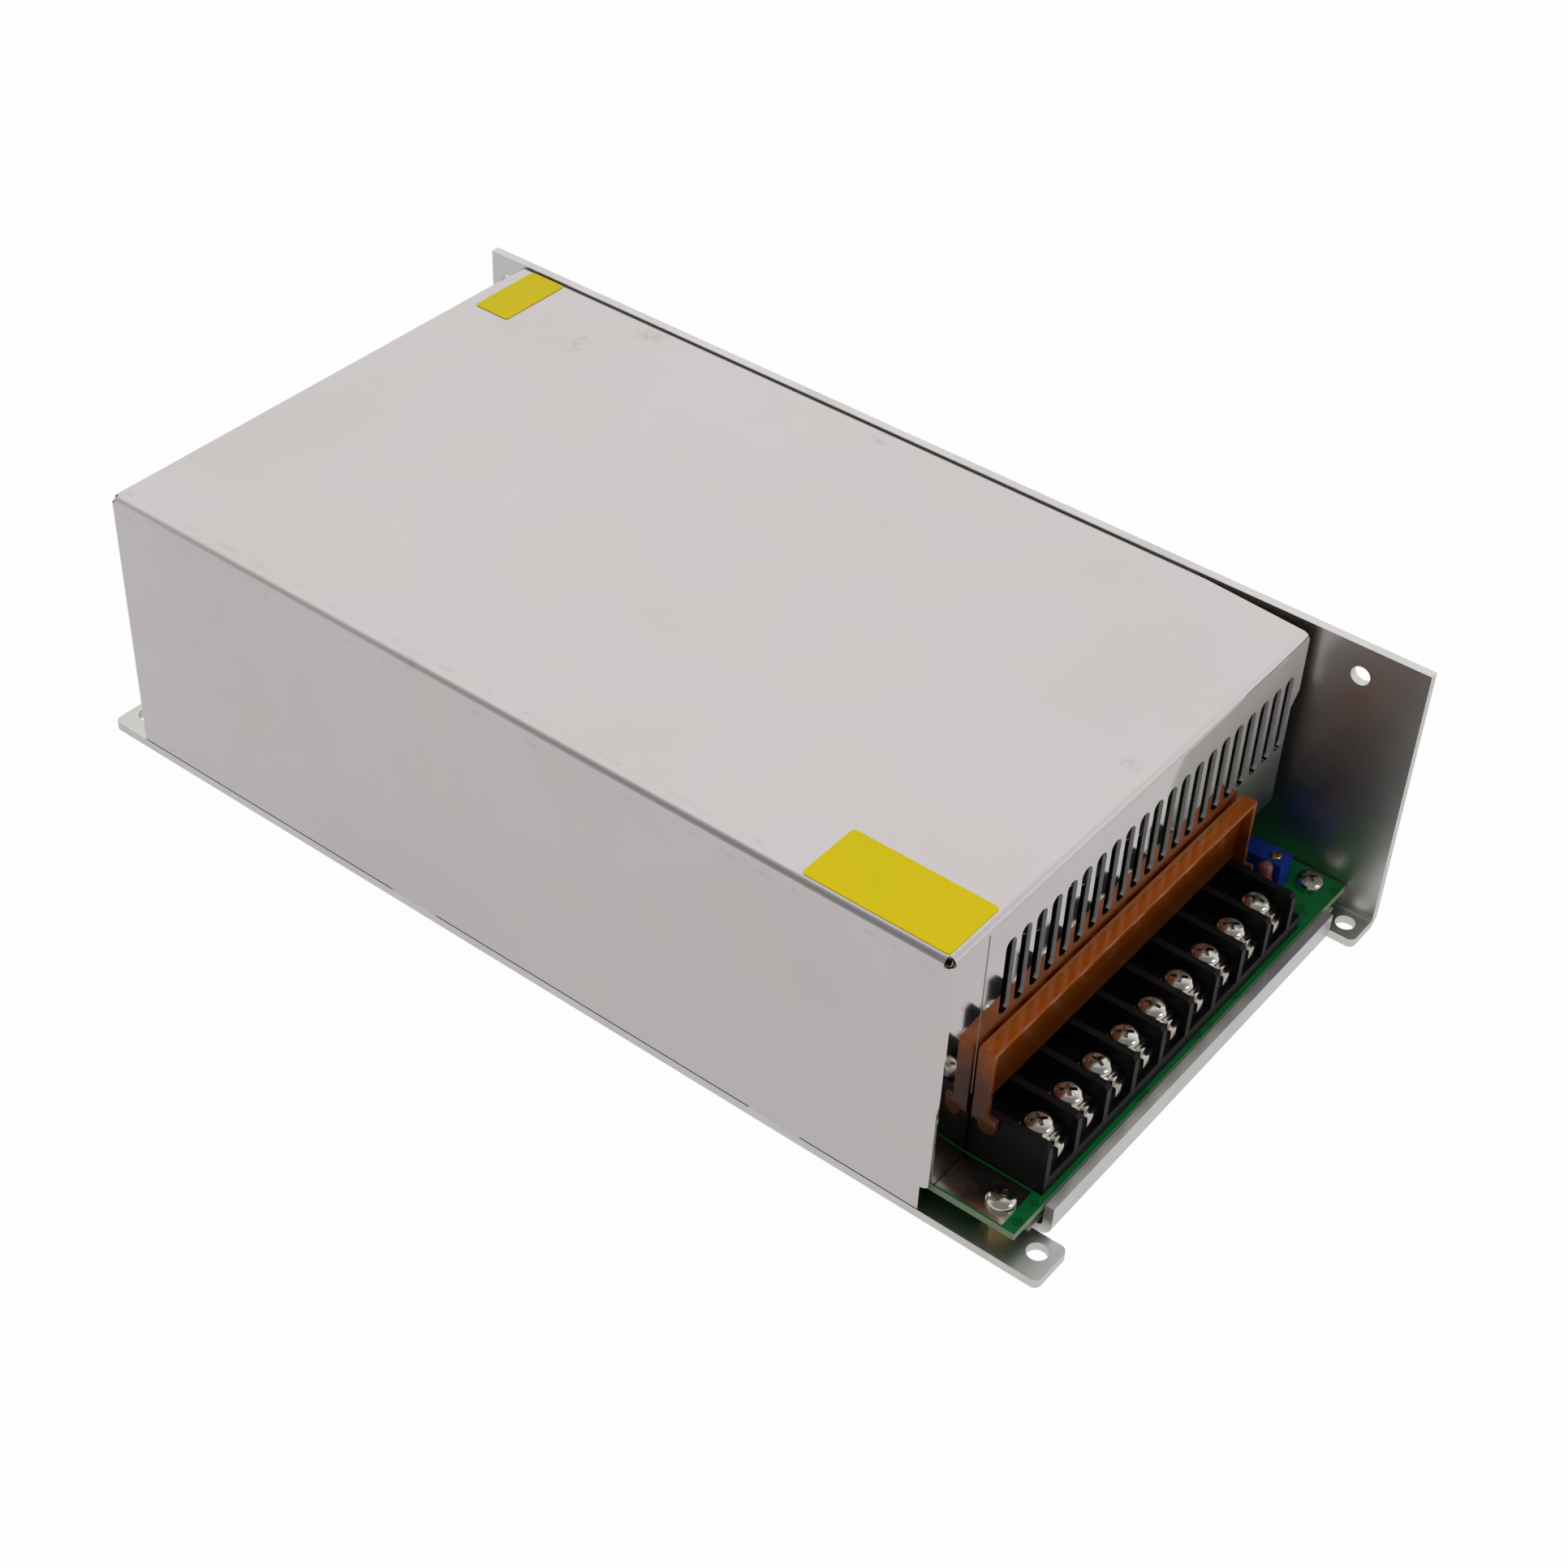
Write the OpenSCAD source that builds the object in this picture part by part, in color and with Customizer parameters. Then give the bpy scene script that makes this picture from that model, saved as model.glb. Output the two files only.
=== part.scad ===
// Enclosed switching power supply: folded chassis and cover, barrier terminal block with a
// flip-up cover at the front, fan at the rear. Millimetres, +Z up, the terminals face -Y and
// the tall chassis wall stands at +X. The origin is the middle of the floor's underside.

/* [Case] */
// Length over the mounting tabs
case_l = 240; // [230:1:280]
// Width over the cover wall and the chassis wall
case_w = 124; // [118:1:140]
// Height of the chassis wall
case_h = 65; // [64:0.5:80]
// Thickness of the chassis sheet
base_t = 2; // [1.6:0.1:2.4]
// Outer bend radius of the chassis sheet
base_bend = 3; // [2.6:0.1:4]
// Thickness of the cover sheet
cover_t = 1; // [0.8:0.1:1.2]
// Outer bend radius of the cover sheet
cover_bend = 1.6; // [1.3:0.1:2.2]
// Distance from the front tab ends back to the cover's front face
front_porch = 24.6; // [24:0.1:30]
// Distance from the cover's rear face to the rear tab ends
rear_step = 9; // [7:0.5:14]
// How far the cover's top lies below the top of the chassis wall
cover_drop = 0.5; // [0.2:0.1:1.5]
// Distance from the cover's near front return to the terminal block
return_clear = 1.4; // [0.6:0.1:4]
// How far the cover's far front corner is drawn in from the chassis wall
edge_draw = 2.4; // [0.5:0.1:3]

/* [Mounting] */
// Width of a mounting tab
tab_w = 10; // [9:0.5:14]
// Length of a mounting tab from the floor's edge
tab_l = 8; // [7:0.5:10]
// Diameter of the mounting holes in the tabs
tab_hole_d = 4.2; // [3.2:0.1:5]
// Distance of a tab hole from the side of the case
tab_hole_side = 6; // [5:0.5:8]
// Distance of a tab hole from the tab's end
tab_hole_end = 4; // [3:0.5:5]
// Diameter of the mounting holes in the chassis wall
side_hole_d = 4.2; // [3.2:0.1:5]
// Distance of the wall's front hole from the wall's front end
side_hole_front = 14; // [8:0.5:18]
// Distance of the wall's mounting holes from its top
side_hole_drop = 6.8; // [5:0.2:12]
// Height of the lip along the front edge of the floor
lip_h = 7.6; // [6:0.2:9]
// Distance of the lip's outer face behind the tab ends
lip_back = 4.8; // [4:0.1:6]

/* [Front vents] */
// Least distance of the outer slots from the edges of the flap
slot_edge = 7; // [5:0.1:20]
// Spacing of the vent slots
slot_pitch = 4.76; // [4:0.02:5]
// Width of a vent slot
slot_w = 3.2; // [1.2:0.1:3.6]
// Length of a vent slot
slot_h = 18; // [10:0.5:24]
// Distance of the slot tops below the cover's top
slot_drop = 7.8; // [5:0.1:10]

/* [Circuit board] */
// Thickness of the circuit board
board_t = 1.6; // [1.2:0.1:2]
// Height of the standoffs under the board
standoff_h = 4.4; // [4:0.1:6]
// Distance of the board's screws from its long edges
board_screw_side = 4.6; // [4:0.1:7]
// Distance of the end screws from the board's ends
board_screw_end = 6; // [5:0.5:9]

/* [Terminal block] */
// Gap between the head of the board's near screw and the block
block_near = 3.15; // [1:0.05:5]
// Room on the board beyond the block, for the lamp and the trimmer
block_far = 17.55; // [16:0.05:22]
// Thickness of a barrier
barrier_t = 1.6; // [1:0.1:2]
// Height of the screw platforms above the board
platform_h = 7.2; // [6:0.1:9]
// Height of the barriers above the platforms
barrier_h = 5.2; // [4.8:0.1:7]
// Length of the low lug at the far end of the block
end_lug = 4.2; // [2:0.1:5]
// Distance of the screws behind the block's front
screw_back = 5.8; // [5.2:0.1:6.4]

/* [Terminal screws] */
// Thread diameter of a terminal screw
screw_d = 3.5; // [3:0.1:4]
// Head diameter of a terminal screw
head_d = 6.2; // [5.6:0.1:6.8]
// Head height of a terminal screw
head_h = 2.4; // [2:0.1:2.6]
// Thickness of a clamping washer
washer_t = 1; // [0.6:0.1:1.2]
// Thickness of a contact plate
contact_t = 1; // [0.6:0.1:1.2]
// Width of a contact's tongue in front of its screw
tongue_w = 2.8; // [2:0.1:4]

/* [Terminal cover] */
// Wall of the terminal cover
lid_t = 1; // [0.8:0.1:1.6]
// Depth of the lip along its free edge
lid_lip = 2.5; // [2:0.1:5]
// How far it reaches in front of the block when it is closed
lid_overhang = 5.2; // [2:0.1:6]
// Diameter of its hinge pins
pin_d = 2; // [1.6:0.1:2.2]

/* [Trimmer and lamp] */
// Width of the trimmer's body
trimmer_w = 4.8; // [4:0.1:6.4]
// Length of the trimmer's body
trimmer_l = 9.6; // [7:0.1:11]
// Height of the trimmer's body
trimmer_h = 7; // [5:0.1:9]
// Diameter of the trimmer's screw
trimmer_screw_d = 2.4; // [2:0.1:3]
// Diameter of the indicator lamp
lamp_d = 3; // [2.6:0.1:3.4]

/* [Fan] */
// Clearance of the fan frame under the cover and over the floor
fan_clear = 0.75; // [0.4:0.05:6]
// Depth of the fan frame
fan_l = 25; // [20:0.5:28]
// Distance of the fan's screw holes from the sides of its frame
fan_hole_in = 5; // [4:0.1:6]
// Diameter of the fan hub
hub_d = 30; // [24:0.5:34]
// Number of fan blades
blade_count = 7; // [5:1:9]

/* [Power parts] */
// Diameter of a bulk capacitor
bulk_d = 28; // [22:0.5:30]
// Height of a bulk capacitor
bulk_h = 45; // [30:0.5:50]
// Diameter of an output capacitor
outcap_d = 16; // [10:0.5:17]
// Height of an output capacitor
outcap_h = 25; // [15:0.5:40]
// Width of the transformer's core
core_w = 52; // [40:0.5:54]
// Height of the transformer's core
core_h = 44; // [36:0.5:48]
// Outer diameter of the output choke
choke_d = 42; // [30:0.5:46]
// Outer diameter of the line choke
line_choke_d = 30; // [24:0.5:34]
// Width of a power transistor
device_w = 16; // [14:0.1:17]
// Height of a power transistor
device_h = 21; // [18:0.1:24]
// Thickness of a power transistor
device_t = 5; // [4.4:0.1:5.4]
// Height of the inner heat sink
sink_h = 38; // [28:0.5:46]

/* [Voltage selector] */
// Distance of the selector from the cover's rear flap
selector_clear = 2; // [0.5:0.1:6]
// Height of the selector's middle
selector_z = 44; // [30:0.5:46]
// Travel of the selector's slider
selector_travel = 4; // [3:0.1:5]

/* [Labels] */
// Length of the front label
front_label_l = 31.2; // [20:0.2:40]
// Width of the front label
front_label_w = 15; // [10:0.2:25]
// Length of the rear label, across the case
rear_label_l = 19; // [10:0.2:25]
// Width of the rear label
rear_label_w = 9.4; // [6:0.2:12]

/* [Hidden] */
$fn = 40;
// Overshoot of every cut
over = 1;

// Clearances
flat_gap = 0.3;
thread_fit = 0.08;
shank_gap = 0.2;
pin_fit = 0.05;
swing_gap = 0.5;

// Planes of the case
x_near = -case_w / 2;
x_far = case_w / 2;
y_front = -case_l / 2;
y_rear = case_l / 2;
wall_in = x_far - base_t;
cover_top = case_h - cover_drop;
cover_under = cover_top - cover_t;
cover_front = y_front + front_porch;
cover_rear = y_rear - rear_step;
cover_far = wall_in - flat_gap;
cover_foot = base_t + flat_gap;
near_in = x_near + cover_t;
seam_w = 0.4;
relief_d = 1.8;

// Floor edges
tab_r = 1.5;
slit_w = 1.5;
lip_out = y_front + lip_back;
tab_hole_x = case_w / 2 - tab_hole_side;
tab_hole_y = case_l / 2 - tab_hole_end;
side_hole_z = case_h - side_hole_drop;

// Circuit board
board_edge = 1;
board_x0 = near_in + board_edge;
board_x1 = wall_in - swing_gap;
board_y0 = lip_out + base_t + shank_gap;
board_z0 = base_t + standoff_h;
board_top = board_z0 + board_t;
small_d = 3;
small_head_d = 5.8;
small_head_h = 2.2;
small_len = 5;
standoff_w = 6.35;

// Fan
fan_s = cover_under - base_t - 2 * fan_clear;
fan_wall = 1.5;
fan_flange = 4;
fan_corner = 4;
fan_x = 0;
fan_z = (base_t + cover_under) / 2;
fan_y1 = cover_rear - cover_t;
fan_y0 = fan_y1 - fan_l;
fan_bore = fan_s - 2 * fan_wall;
fan_hole_pitch = fan_s - 2 * fan_hole_in;
fan_tip_gap = 0.8;
fan_screw_d = 3.8;
shaft_d = 3;
fan_ahead = 2;
board_y1 = fan_y0 - fan_ahead;
standoff_x = [board_x0 + board_screw_side, board_x1 - board_screw_side];
standoff_y = [
    board_y0 + board_screw_end,
    (board_y0 + board_y1) / 2,
    board_y1 - board_screw_end
];

// Cover fixings lie midway between the standoffs
foot_lug = 8;
lug_w = 12;
lug_drop = 12;
cover_fix_y = [for (k = [0, 1]) (standoff_y[k] + standoff_y[k + 1]) / 2];
lug_fix = 3;
foot_fix_x = x_near + foot_lug - lug_fix;
wall_fix_z = cover_top - lug_drop + lug_fix + cover_t;
sunk_d = 5.6;
sunk_h = 1.3;
sunk_len = 3.4;

// Terminal block
way_count = 9;
ways = [0 : way_count - 1];
block_x0 = standoff_x[0] + small_head_d / 2 + block_near;
block_x1 = board_x1 - block_far;
row_x1 = block_x1 - end_lug;
last_barrier_x = row_x1 - barrier_t / 2;
way_pitch = (last_barrier_x - block_x0 - barrier_t / 2) / way_count;
function way_x(i) = block_x0 + barrier_t / 2 + (i + 0.5) * way_pitch;
block_edge = 1.2;
block_front = board_y0 + block_edge;
screw_y = block_front + screw_back;
seam_x = block_x0 - return_clear + seam_w;
tower_y0 = cover_front + shank_gap;
tower_d = 5.2;
tower_rise = 1.6;
block_back = tower_y0 + tower_d;
platform_z = board_top + platform_h;
barrier_top = platform_z + barrier_h;
tower_top = barrier_top + tower_rise;
foot_step = 3.5;
platform_back = 1.4;
barrier_cut = 0.8;
contact_top = platform_z + contact_t;
washer_top = contact_top + washer_t;
bay_w = way_pitch - barrier_t;
washer_room = 0.65;
washer_w = bay_w - 2 * washer_room;
contact_lap = 0.4;
screw_end = 1;
screw_len = platform_h + washer_t + contact_t - screw_end;
flap_rise = 2;
flap_foot = tower_top + flap_rise;
slot_mid = (seam_x + cover_far) / 2;
slot_count = floor((cover_far - seam_x - 2 * slot_edge) / slot_pitch) + 1;
slot_low = cover_top - slot_drop - slot_h;

// Terminal cover, laid out about its hinge axis
lid_rise = 2.4;
lid_over = 0.7;
lid_side = 0.3;
lid_start = lid_rise - lid_side;
lid_y = cover_front - swing_gap - lid_t - lid_rise;
lid_z = barrier_top + lid_over - lid_rise;
lid_reach = lid_y - (block_front - lid_overhang);
pin_reach = 1.2;

// Trimmer and lamp
trimmer_out = 6.2;
trimmer_back = 5.2;
trimmer_ahead = 2.6;
trimmer_x = block_x1 + trimmer_out + trimmer_w / 2;
trimmer_y = cover_front - trimmer_back;
trimmer_sink = 1.2;
lamp_out = 1.4;
lamp_ahead = 0.7;
lamp_x = block_x1 + lamp_out + lamp_d / 2;
lamp_y = trimmer_y - lamp_ahead;
lamp_stand = 4;
lamp_leg = 0.6;
lamp_leg_out = 1.27;
lamp_h = 5.6;
lamp_rim = 0.4;
lamp_rim_h = 1;

// Devices along the chassis wall
pad_t = 0.3;
bar_t = 3;
bar_h = 6;
device_gap = 4;
device_pitch = device_w + device_gap;
device_lift = 5;
device_z = board_top + device_lift;
device_x = wall_in - pad_t - device_t;
bar_x = device_x - bar_t;
bar_z = device_z + device_h * 0.55;
wall_device_count = 4;
bridge_w = 20;

// Rows of parts on the board, from the front to the rear
part_gap = 2.5;
cap_bevel = 1;
outcap_in = 3;
outcap_gap = 1.2;
outcap_count = 5;
row_a = block_back + part_gap + outcap_d / 2;
outcap_x = board_x0 + outcap_in + outcap_d / 2;
fuse_d = 6;
fuse_l = 22;
fuse_lift = 1;
fuse_x = bar_x - part_gap - fuse_d;
fuse_y = block_back + part_gap;
fuse_z = board_top + fuse_lift + fuse_d / 2;
clip_l = 5;
clip_t = 1;
row_b0 = row_a + outcap_d / 2 + part_gap;
row_b = row_b0 + choke_d / 2;
choke_in = 6;
choke_x = board_x0 + choke_in + choke_d / 2;
choke_wire = 2.2;
choke_core_h = 14;
choke_core_d = choke_d - 2 * choke_wire;
choke_hole_d = choke_core_d * 0.58;
line_choke_x = bar_x - part_gap - line_choke_d / 2;
line_row0 = max(row_b0, fuse_y + fuse_l + part_gap);
line_wire = 1.6;
line_core_h = 12;
line_core_d = line_choke_d - 2 * line_wire;
line_hole_d = line_core_d * 0.58;
film_w = 16;
film_l = 10;
film_h = 16;
film_x = (choke_x + choke_d / 2 + line_choke_x - line_choke_d / 2) / 2;
row_c0 = max(row_b0 + choke_d, line_row0 + line_choke_d) + part_gap;
winding_l = 36;
row_c = row_c0 + winding_l / 2;
bulk_x = bar_x - part_gap - small_head_h - bulk_d / 2;
core_x = (standoff_x[0] + small_head_d / 2 + bulk_x - bulk_d / 2) / 2;
core_l = 18;
core_leg = 14;
window_w = (core_w - 2 * core_leg) / 2;
window_gap = 1;
yoke_h = core_leg / 2;
winding_wrap = min(window_w - window_gap, (winding_l - core_l) / 2 - flat_gap);
wall_device_y = row_c0 + device_w / 2 - part_gap;
bridge_y = wall_device_y + (wall_device_count - 0.5) * device_pitch + (device_gap + bridge_w) / 2;
bar_end = 1;
bar_y0 = wall_device_y - device_pitch / 2 - bar_end;
bar_y1 = bridge_y + bridge_w / 2 + device_gap;
clamp_y = [for (k = [0 : 2 : wall_device_count]) wall_device_y + (k - 0.5) * device_pitch];
row_d0 = row_c0 + winding_l + part_gap;
sink_t = 3;
sink_foot = 8;
sink_end = 2;
sink_x = standoff_x[0] + small_head_d / 2 + swing_gap;
rectifier_count = 2;
sink_l = rectifier_count * device_pitch - device_gap + 2 * sink_end;
control_out = 6;
control_l = 30;
control_h = 24;
control_x = sink_x + sink_foot + control_out;
chip_t = 1.8;
chip_w = 6;
chip_h = 10;
chip_lift = 8;
disc_d = 11;
disc_t = 4;
disc_gap = 3;
disc_count = 3;
disc_x = control_x + board_t + chip_t + part_gap + disc_d / 2;
limiter_d = 15;
limiter_t = 5;
limiter_x = disc_x + (disc_d + limiter_d) / 2 + part_gap;

// Voltage selector
selector_l = 15;
selector_y = fan_y1 - selector_clear - (selector_l + selector_travel) / 2;
selector_h = 9;
selector_d = 8;
knob_s = 4;
channel_d = 3;

// Labels
label_t = 0.15;
rear_label_in = 4;

// Shared shapes

// Box between two corners
module box(low, high) translate(low) cube(high - low);

// Section drawn in x and z, drawn out along y
module along_y(y0, y1) translate([0, y1, 0]) rotate([90, 0, 0]) linear_extrude(y1 - y0) children();

// Section drawn in y and z, drawn out along x
module along_x(x0, x1) translate([x0, 0, 0]) rotate([90, 0, 90]) linear_extrude(x1 - x0) children();

// Quarter of a bent sheet, its outer side towards +x and +y before it is turned
module bend(r, t, turn) rotate(turn) intersection() {
    difference() {
        circle(r);
        circle(r - t);
    }
    square(r);
}

// Corner to take off a flat outline at [x, y], whose inside lies towards [sx, sy]
module round_off(x, y, sx, sy, r) difference() {
    translate([x + sx * (r - over) / 2, y + sy * (r - over) / 2]) square(r + over, center = true);
    translate([x + sx * r, y + sy * r]) circle(r);
}

// Slot with round ends, upright, its lower end at [0, 0]
module long_slot(w, h) {
    translate([-w / 2, w / 2]) square([w, h - w]);
    for (y = [w / 2, h - w / 2]) translate([0, y]) circle(d = w);
}

// Cross recess in a screw head whose top is at z = 0
module cross_recess(size, depth) for (turn = [0, 90]) rotate(turn)
    translate([-size / 2, -size / 8, -depth]) cube([size, size / 4, depth + over]);

// Pan head screw, seated at z = 0
module pan_screw(d, len, head_d, head_h) difference() {
    union() {
        translate([0, 0, -len]) cylinder(d = d, h = len);
        cylinder(d = head_d, h = head_h * 0.6);
        translate([0, 0, head_h * 0.6]) cylinder(d1 = head_d, d2 = head_d * 0.68, h = head_h * 0.4);
    }
    translate([0, 0, head_h]) cross_recess(head_d * 0.6, head_h * 0.5);
}

// Countersunk screw, its head flush with z = 0
module sunk_screw() difference() {
    union() {
        translate([0, 0, -sunk_h]) cylinder(d1 = small_d, d2 = sunk_d, h = sunk_h);
        translate([0, 0, -sunk_h - sunk_len]) cylinder(d = small_d, h = sunk_len);
    }
    cross_recess(sunk_d * 0.55, sunk_h * 0.5);
}

// Hole for a countersunk screw
module sunk_hole(depth) {
    hole_d = small_d + 2 * shank_gap;
    mouth_d = sunk_d + 2 * shank_gap;
    translate([0, 0, -sunk_h]) cylinder(d1 = hole_d, d2 = mouth_d, h = sunk_h);
    translate([0, 0, -depth]) cylinder(d = hole_d, h = depth);
    cylinder(d = mouth_d, h = over);
}

// Places of the cover's screws: in the chassis wall, then under the floor
module at_wall_fixings() for (y = cover_fix_y)
    translate([x_far, y, wall_fix_z]) rotate([0, 90, 0]) children();
module at_foot_fixings() for (y = cover_fix_y)
    translate([foot_fix_x, y, 0]) rotate([180, 0, 0]) children();

// Places of the board's screws
module at_standoffs() for (x = standoff_x, y = standoff_y) translate([x, y, 0]) children();

// Ring core lying flat
module ring_core(outer, inner, h) difference() {
    cylinder(d = outer, h = h);
    translate([0, 0, -over]) cylinder(d = inner, h = h + 2 * over);
}

// Case

// Opening between the tabs at one end of the floor
module tab_window(end) mirror([0, end > 0 ? 1 : 0, 0])
    translate([0, 0, -over]) linear_extrude(base_t + 2 * over) {
        translate([x_near + tab_w, y_front - over]) square([case_w - 2 * tab_w, tab_l + over]);
        round_off(x_near, y_front, 1, 1, tab_r);
        round_off(x_near + tab_w, y_front, -1, 1, tab_r);
        round_off(x_far - tab_w, y_front, 1, 1, tab_r);
    }

module front_lip() along_x(x_near + tab_w + slit_w, x_far - tab_w - slit_w) {
    translate([lip_out + base_bend, 0]) square([tab_l + over - lip_back, base_t]);
    translate([lip_out + base_bend, base_bend]) bend(base_bend, base_t, 180);
    translate([lip_out, base_bend]) square([base_t, lip_h - base_bend]);
}

module base_chassis() color("silver") difference() {
    union() {
        difference() {
            along_y(y_front, y_rear) {
                translate([x_near, 0]) square([case_w - base_bend, base_t]);
                translate([x_far - base_bend, base_bend]) bend(base_bend, base_t, 270);
                translate([wall_in, base_bend]) square([base_t, case_h - base_bend]);
            }
            for (end = [-1, 1]) tab_window(end);
        }
        front_lip();
    }
    for (x = [-tab_hole_x, tab_hole_x], y = [-tab_hole_y, tab_hole_y])
        translate([x, y, -over]) cylinder(d = tab_hole_d, h = base_t + 2 * over);
    for (y = [y_front + side_hole_front, y_rear - rear_step / 2])
        translate([wall_in - over, y, side_hole_z]) rotate([0, 90, 0])
            cylinder(d = side_hole_d, h = base_t + 2 * over);
    at_wall_fixings() sunk_hole(base_t + over);
    at_foot_fixings() sunk_hole(base_t + over);
    at_clamps() translate([0, 0, -base_t - over])
        cylinder(d = small_d + 2 * thread_fit, h = base_t + 2 * over);
    along_x(wall_in - over, x_far + over) selector_window();
}

// One end of the cover, its outer face on y = 0 and the inside towards +y
module cover_end(foot, return_foot) {
    shoulder = cover_top - cover_bend;
    along_x(x_near + cover_bend, cover_far) translate([cover_bend, shoulder]) bend(cover_bend, cover_t, 90);
    along_x(seam_x, cover_far) translate([0, foot]) square([cover_t, shoulder - foot]);
    along_x(x_near + cover_bend, seam_x - seam_w)
        translate([0, return_foot]) square([cover_t, shoulder - return_foot]);
    translate([x_near + cover_bend, cover_bend, return_foot]) linear_extrude(shoulder - return_foot)
        bend(cover_bend, cover_t, 180);
}

// Ring slots of the fan guard, drawn about the fan's axis
module guard_slots() {
    rib = 3;
    ring = (fan_bore / 2 - rib) / 4;
    for (k = [1 : 3]) difference() {
        circle((k + 1) * ring);
        circle(k * ring + rib);
        for (turn = [45, 135]) rotate(turn) square([fan_s, rib + 1], center = true);
    }
}

module at_fan_holes() for (sx = [-1, 1], sz = [-1, 1])
    translate([fan_x + sx * fan_hole_pitch / 2, 0, fan_z + sz * fan_hole_pitch / 2]) children();

module top_cover() color("gainsboro") difference() {
    union() {
        along_y(cover_front + cover_bend, cover_rear - cover_bend) {
            translate([x_near, cover_foot]) square([cover_t, cover_top - cover_bend - cover_foot]);
            translate([x_near + cover_bend, cover_top - cover_bend]) bend(cover_bend, cover_t, 90);
            translate([x_near + cover_bend, cover_under])
                square([cover_far - x_near - cover_bend, cover_t]);
        }
        translate([0, cover_front, 0]) cover_end(flap_foot, board_top + flat_gap);
        translate([0, cover_rear, 0]) mirror([0, 1, 0]) cover_end(cover_foot, cover_foot);
        for (y = cover_fix_y) {
            translate([cover_far - cover_t, y - lug_w / 2, cover_top - lug_drop])
                cube([cover_t, lug_w, lug_drop]);
            translate([x_near, y - lug_w / 2, base_t]) cube([foot_lug, lug_w, cover_t]);
        }
    }
    // Corner reliefs where three bends meet
    for (y = [cover_front + cover_t, cover_rear - cover_t])
        translate([near_in, y, cover_under]) sphere(d = relief_d);
    // Vent slots
    along_y(cover_front - over, cover_front + cover_t + over)
        for (k = [0 : slot_count - 1])
            translate([slot_mid + (k - (slot_count - 1) / 2) * slot_pitch, slot_low])
                long_slot(slot_w, slot_h);
    // The flap narrows towards its foot at the chassis wall
    along_y(cover_front - over, cover_front + cover_t + over) polygon([
        [cover_far - cover_t, cover_top - lug_drop], [cover_far + over, cover_top - lug_drop],
        [cover_far + over, flap_foot - over], [cover_far - 2 * edge_draw, flap_foot - over],
        [cover_far - 2 * edge_draw, cover_top - lug_drop - 2 * edge_draw]
    ]);
    // The far edge is drawn in towards the front
    translate([0, 0, flap_foot]) linear_extrude(case_h) polygon([
        [cover_far, cover_fix_y[0] - lug_w / 2], [cover_far + over, cover_fix_y[0] - lug_w / 2],
        [cover_far + over, cover_front - over], [cover_far - edge_draw, cover_front - over]
    ]);
    // Fan guard and fan screws
    along_y(fan_y1 - over, cover_rear + over) translate([fan_x, fan_z]) guard_slots();
    at_fan_holes() translate([0, fan_y1 - over, 0]) rotate([-90, 0, 0])
        cylinder(d = fan_screw_d + 2 * shank_gap, h = cover_t + 2 * over);
    at_wall_fixings() translate([0, 0, -base_t - 2 * cover_t - flat_gap])
        cylinder(d = small_d + 2 * thread_fit, h = 3 * cover_t);
    at_foot_fixings() translate([0, 0, -base_t - 2 * cover_t])
        cylinder(d = small_d + 2 * thread_fit, h = 3 * cover_t);
}

module cover_screws() color("silver") {
    at_wall_fixings() sunk_screw();
    at_foot_fixings() sunk_screw();
}

// Circuit board

module insulating_sheet() color("ivory") difference() {
    box([x_near + foot_lug + board_edge, board_y0 + board_edge, base_t],
        [x_far - base_bend - board_edge, board_y1, base_t + flat_gap]);
    at_standoffs() cylinder(d = standoff_w + 2 * board_edge, h = base_t + over);
    at_foot_fixings() translate([0, 0, -base_t - over]) cylinder(d = sunk_d, h = base_t + over);
}

module board_standoffs() color("goldenrod") at_standoffs() translate([0, 0, base_t]) difference() {
    cylinder(d = standoff_w, h = standoff_h, $fn = 6);
    translate([0, 0, -over]) cylinder(d = small_d + 2 * thread_fit, h = standoff_h + 2 * over);
}

module circuit_board() color("darkgreen") difference() {
    box([board_x0, board_y0, board_z0], [board_x1, board_y1, board_top]);
    at_standoffs() translate([0, 0, board_z0 - over])
        cylinder(d = small_d + 2 * shank_gap, h = board_t + 2 * over);
}

module board_screws() color("silver") at_standoffs() translate([0, 0, board_top])
    pan_screw(small_d, small_len, small_head_d, small_head_h);

// Terminals

module barrier(x) along_x(x - barrier_t / 2, x + barrier_t / 2) polygon([
    [block_front, board_top], [block_front, barrier_top - barrier_cut],
    [block_front + barrier_cut, barrier_top], [tower_y0, barrier_top], [tower_y0, board_top]
]);

module terminal_block() color("#1c1c1e") difference() {
    union() {
        box([block_x0, block_front, board_top], [block_x1, block_back, board_top + foot_step]);
        box([block_x0, block_front + platform_back, board_top], [block_x1, block_back, platform_z]);
        box([block_x0, tower_y0, board_top], [block_x1, block_back, tower_top]);
        for (k = [0 : way_count]) barrier(way_x(0) + (k - 0.5) * way_pitch);
    }
    for (i = ways) translate([way_x(i), screw_y, washer_top - screw_len - flat_gap])
        cylinder(d = screw_d + 2 * flat_gap, h = case_h);
    for (x = [block_x0 - over, row_x1 - pin_reach - flat_gap])
        translate([x, lid_y, lid_z]) rotate([0, 90, 0])
            cylinder(d = pin_d + 2 * pin_fit, h = pin_reach + flat_gap + over);
}

module terminal_contacts() color("gold") for (i = ways) difference() {
    union() {
        box([way_x(i) - washer_w / 2, screw_y - washer_w / 2, platform_z],
            [way_x(i) + washer_w / 2, screw_y + washer_w / 2 + contact_lap, contact_top]);
        box([way_x(i) - tongue_w / 2, block_front + platform_back, platform_z],
            [way_x(i) + tongue_w / 2, screw_y, contact_top]);
    }
    translate([way_x(i), screw_y, platform_z - over])
        cylinder(d = screw_d + 2 * thread_fit, h = contact_t + 2 * over);
}

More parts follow.
